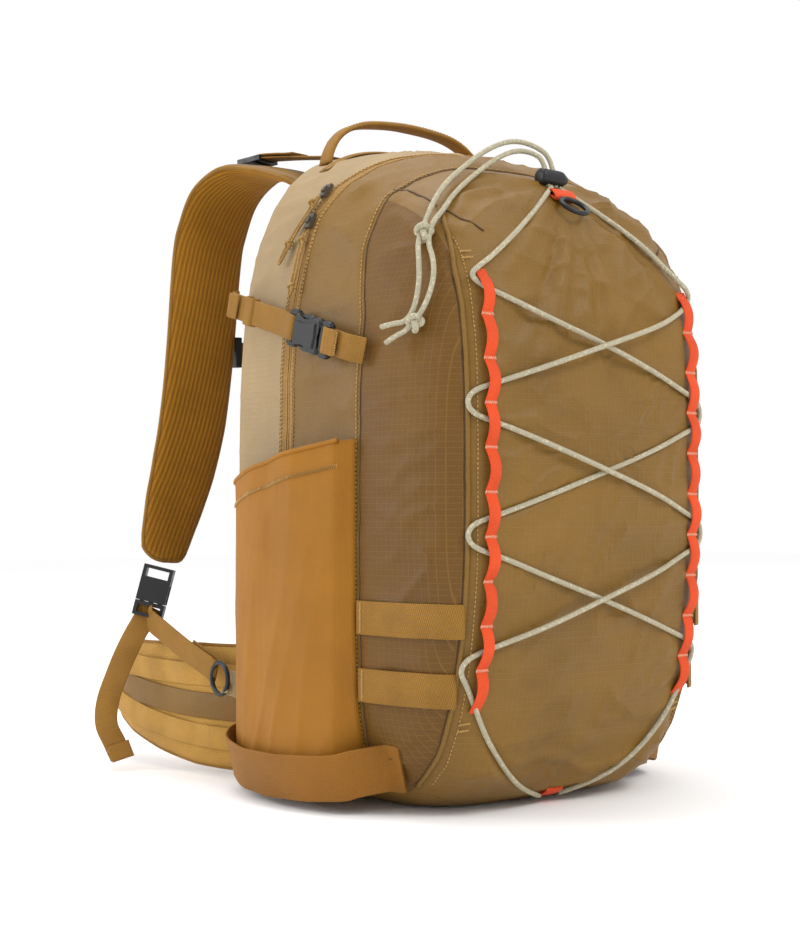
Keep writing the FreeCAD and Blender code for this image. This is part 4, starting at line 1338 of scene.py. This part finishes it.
def build_lock():
    """Ribbed barrel of the cord lock and its button."""
    ribs = [(-12, 4.6), (-11.6, 5.9), (-10.6, 6.6)]
    for k in range(8):
        ribs += [(-9.6 + k * 2.2, 6.7), (-8.7 + k * 2.2, 6.2)]
    ribs += [(8.6, 6.6), (10.4, 6.2), (11.6, 5.6), (12, 4.4)]
    barrel = turned("lock_barrel", (0, -64, 485.6), (1, 0, 0), ribs, MAT["plastic"])
    place(barrel, "lock", "buckle_plastic", "cord_lock")
    cap = [(11.0, 3.9), (14.4, 3.9), (15.2, 3.4), (15.4, 1.2)]
    place(turned("lock_cap", (0, -64, 485.6), (1, 0, 0), cap, MAT["plastic"]), "lock_button",
          "buckle_plastic", "cord_lock_button")


def dress_nodes():
    """The moulded CAD pieces keep their form and take their plastics."""
    paired = [part + name for part in ("d_ring_", "chest_slider_", "strap_clips_") for name, _ in SIDES]
    moulded = ["hook_ring", "chest_socket", "chest_plug", "hip_socket", "hip_plug"] + paired
    for names, key in ((moulded, "plastic"), (["zip_slider_a", "zip_slider_b"], "metal"),
                       (["frame_sheet"], "sheet")):
        for node in names:
            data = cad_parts[node].data
            data.materials.clear()
            data.materials.append(MAT[key])


# ---- camera and light -------------------------------------------------------
def look_at(obj, target):
    """Turns a camera or light to a point."""
    obj.rotation_euler = (Vector(target) - obj.location).to_track_quat("-Z", "Y").to_euler()


def build_stage():
    """The photograph's camera, a pale floor and soft studio light."""
    scene = bpy.context.scene
    camera = add_object("camera", bpy.data.cameras.new("camera"))
    camera.data.lens = 59.1
    camera.data.sensor_width = 36.0
    camera.location = (-0.815, -0.971, 0.224)
    look_at(camera, (-0.0613, 0.0514, 0.2549))
    scene.camera = camera
    floor = bpy.data.meshes.new("floor")
    floor.from_pydata([(-6, -6, 0), (6, -6, 0), (6, 6, 0), (-6, 6, 0)], [], [(0, 1, 2, 3)])
    paint = bpy.data.materials.new("floor_paint")
    paint.use_nodes = True
    paint.node_tree.nodes["Principled BSDF"].inputs["Base Color"].default_value = (0.97, 0.97, 0.97, 1)
    paint.node_tree.nodes["Principled BSDF"].inputs["Roughness"].default_value = 0.9
    floor.materials.append(paint)
    ground = add_object("floor", floor)
    ground.location.z = -0.0005
    scene.world = bpy.data.worlds.new("studio")
    scene.world.use_nodes = True
    sky = scene.world.node_tree.nodes["Background"]
    sky.inputs["Color"].default_value = (1.0, 1.0, 1.0, 1)
    sky.inputs["Strength"].default_value = 1.0
    for name, at, size, power in (("key", (0.3, -1.9, 2.0), 0.9, 26), ("top", (-0.3, 0.5, 2.3), 1.2, 20),
                                  ("rim", (-1.9, 1.2, 0.9), 0.8, 16)):
        light = add_object(name, bpy.data.lights.new(name, "AREA"))
        light.data.size = size
        light.data.energy = power
        light.location = at
        look_at(light, (0, 0.05, 0.3))
    scene.view_settings.view_transform = "Standard"


build_skins()
build_seams()
build_cords()
build_side_straps()
build_daisies()
build_haul_loop()
build_shoulders()
build_hips()
build_back()
build_pockets()
build_lock()
dress_nodes()
build_stage()
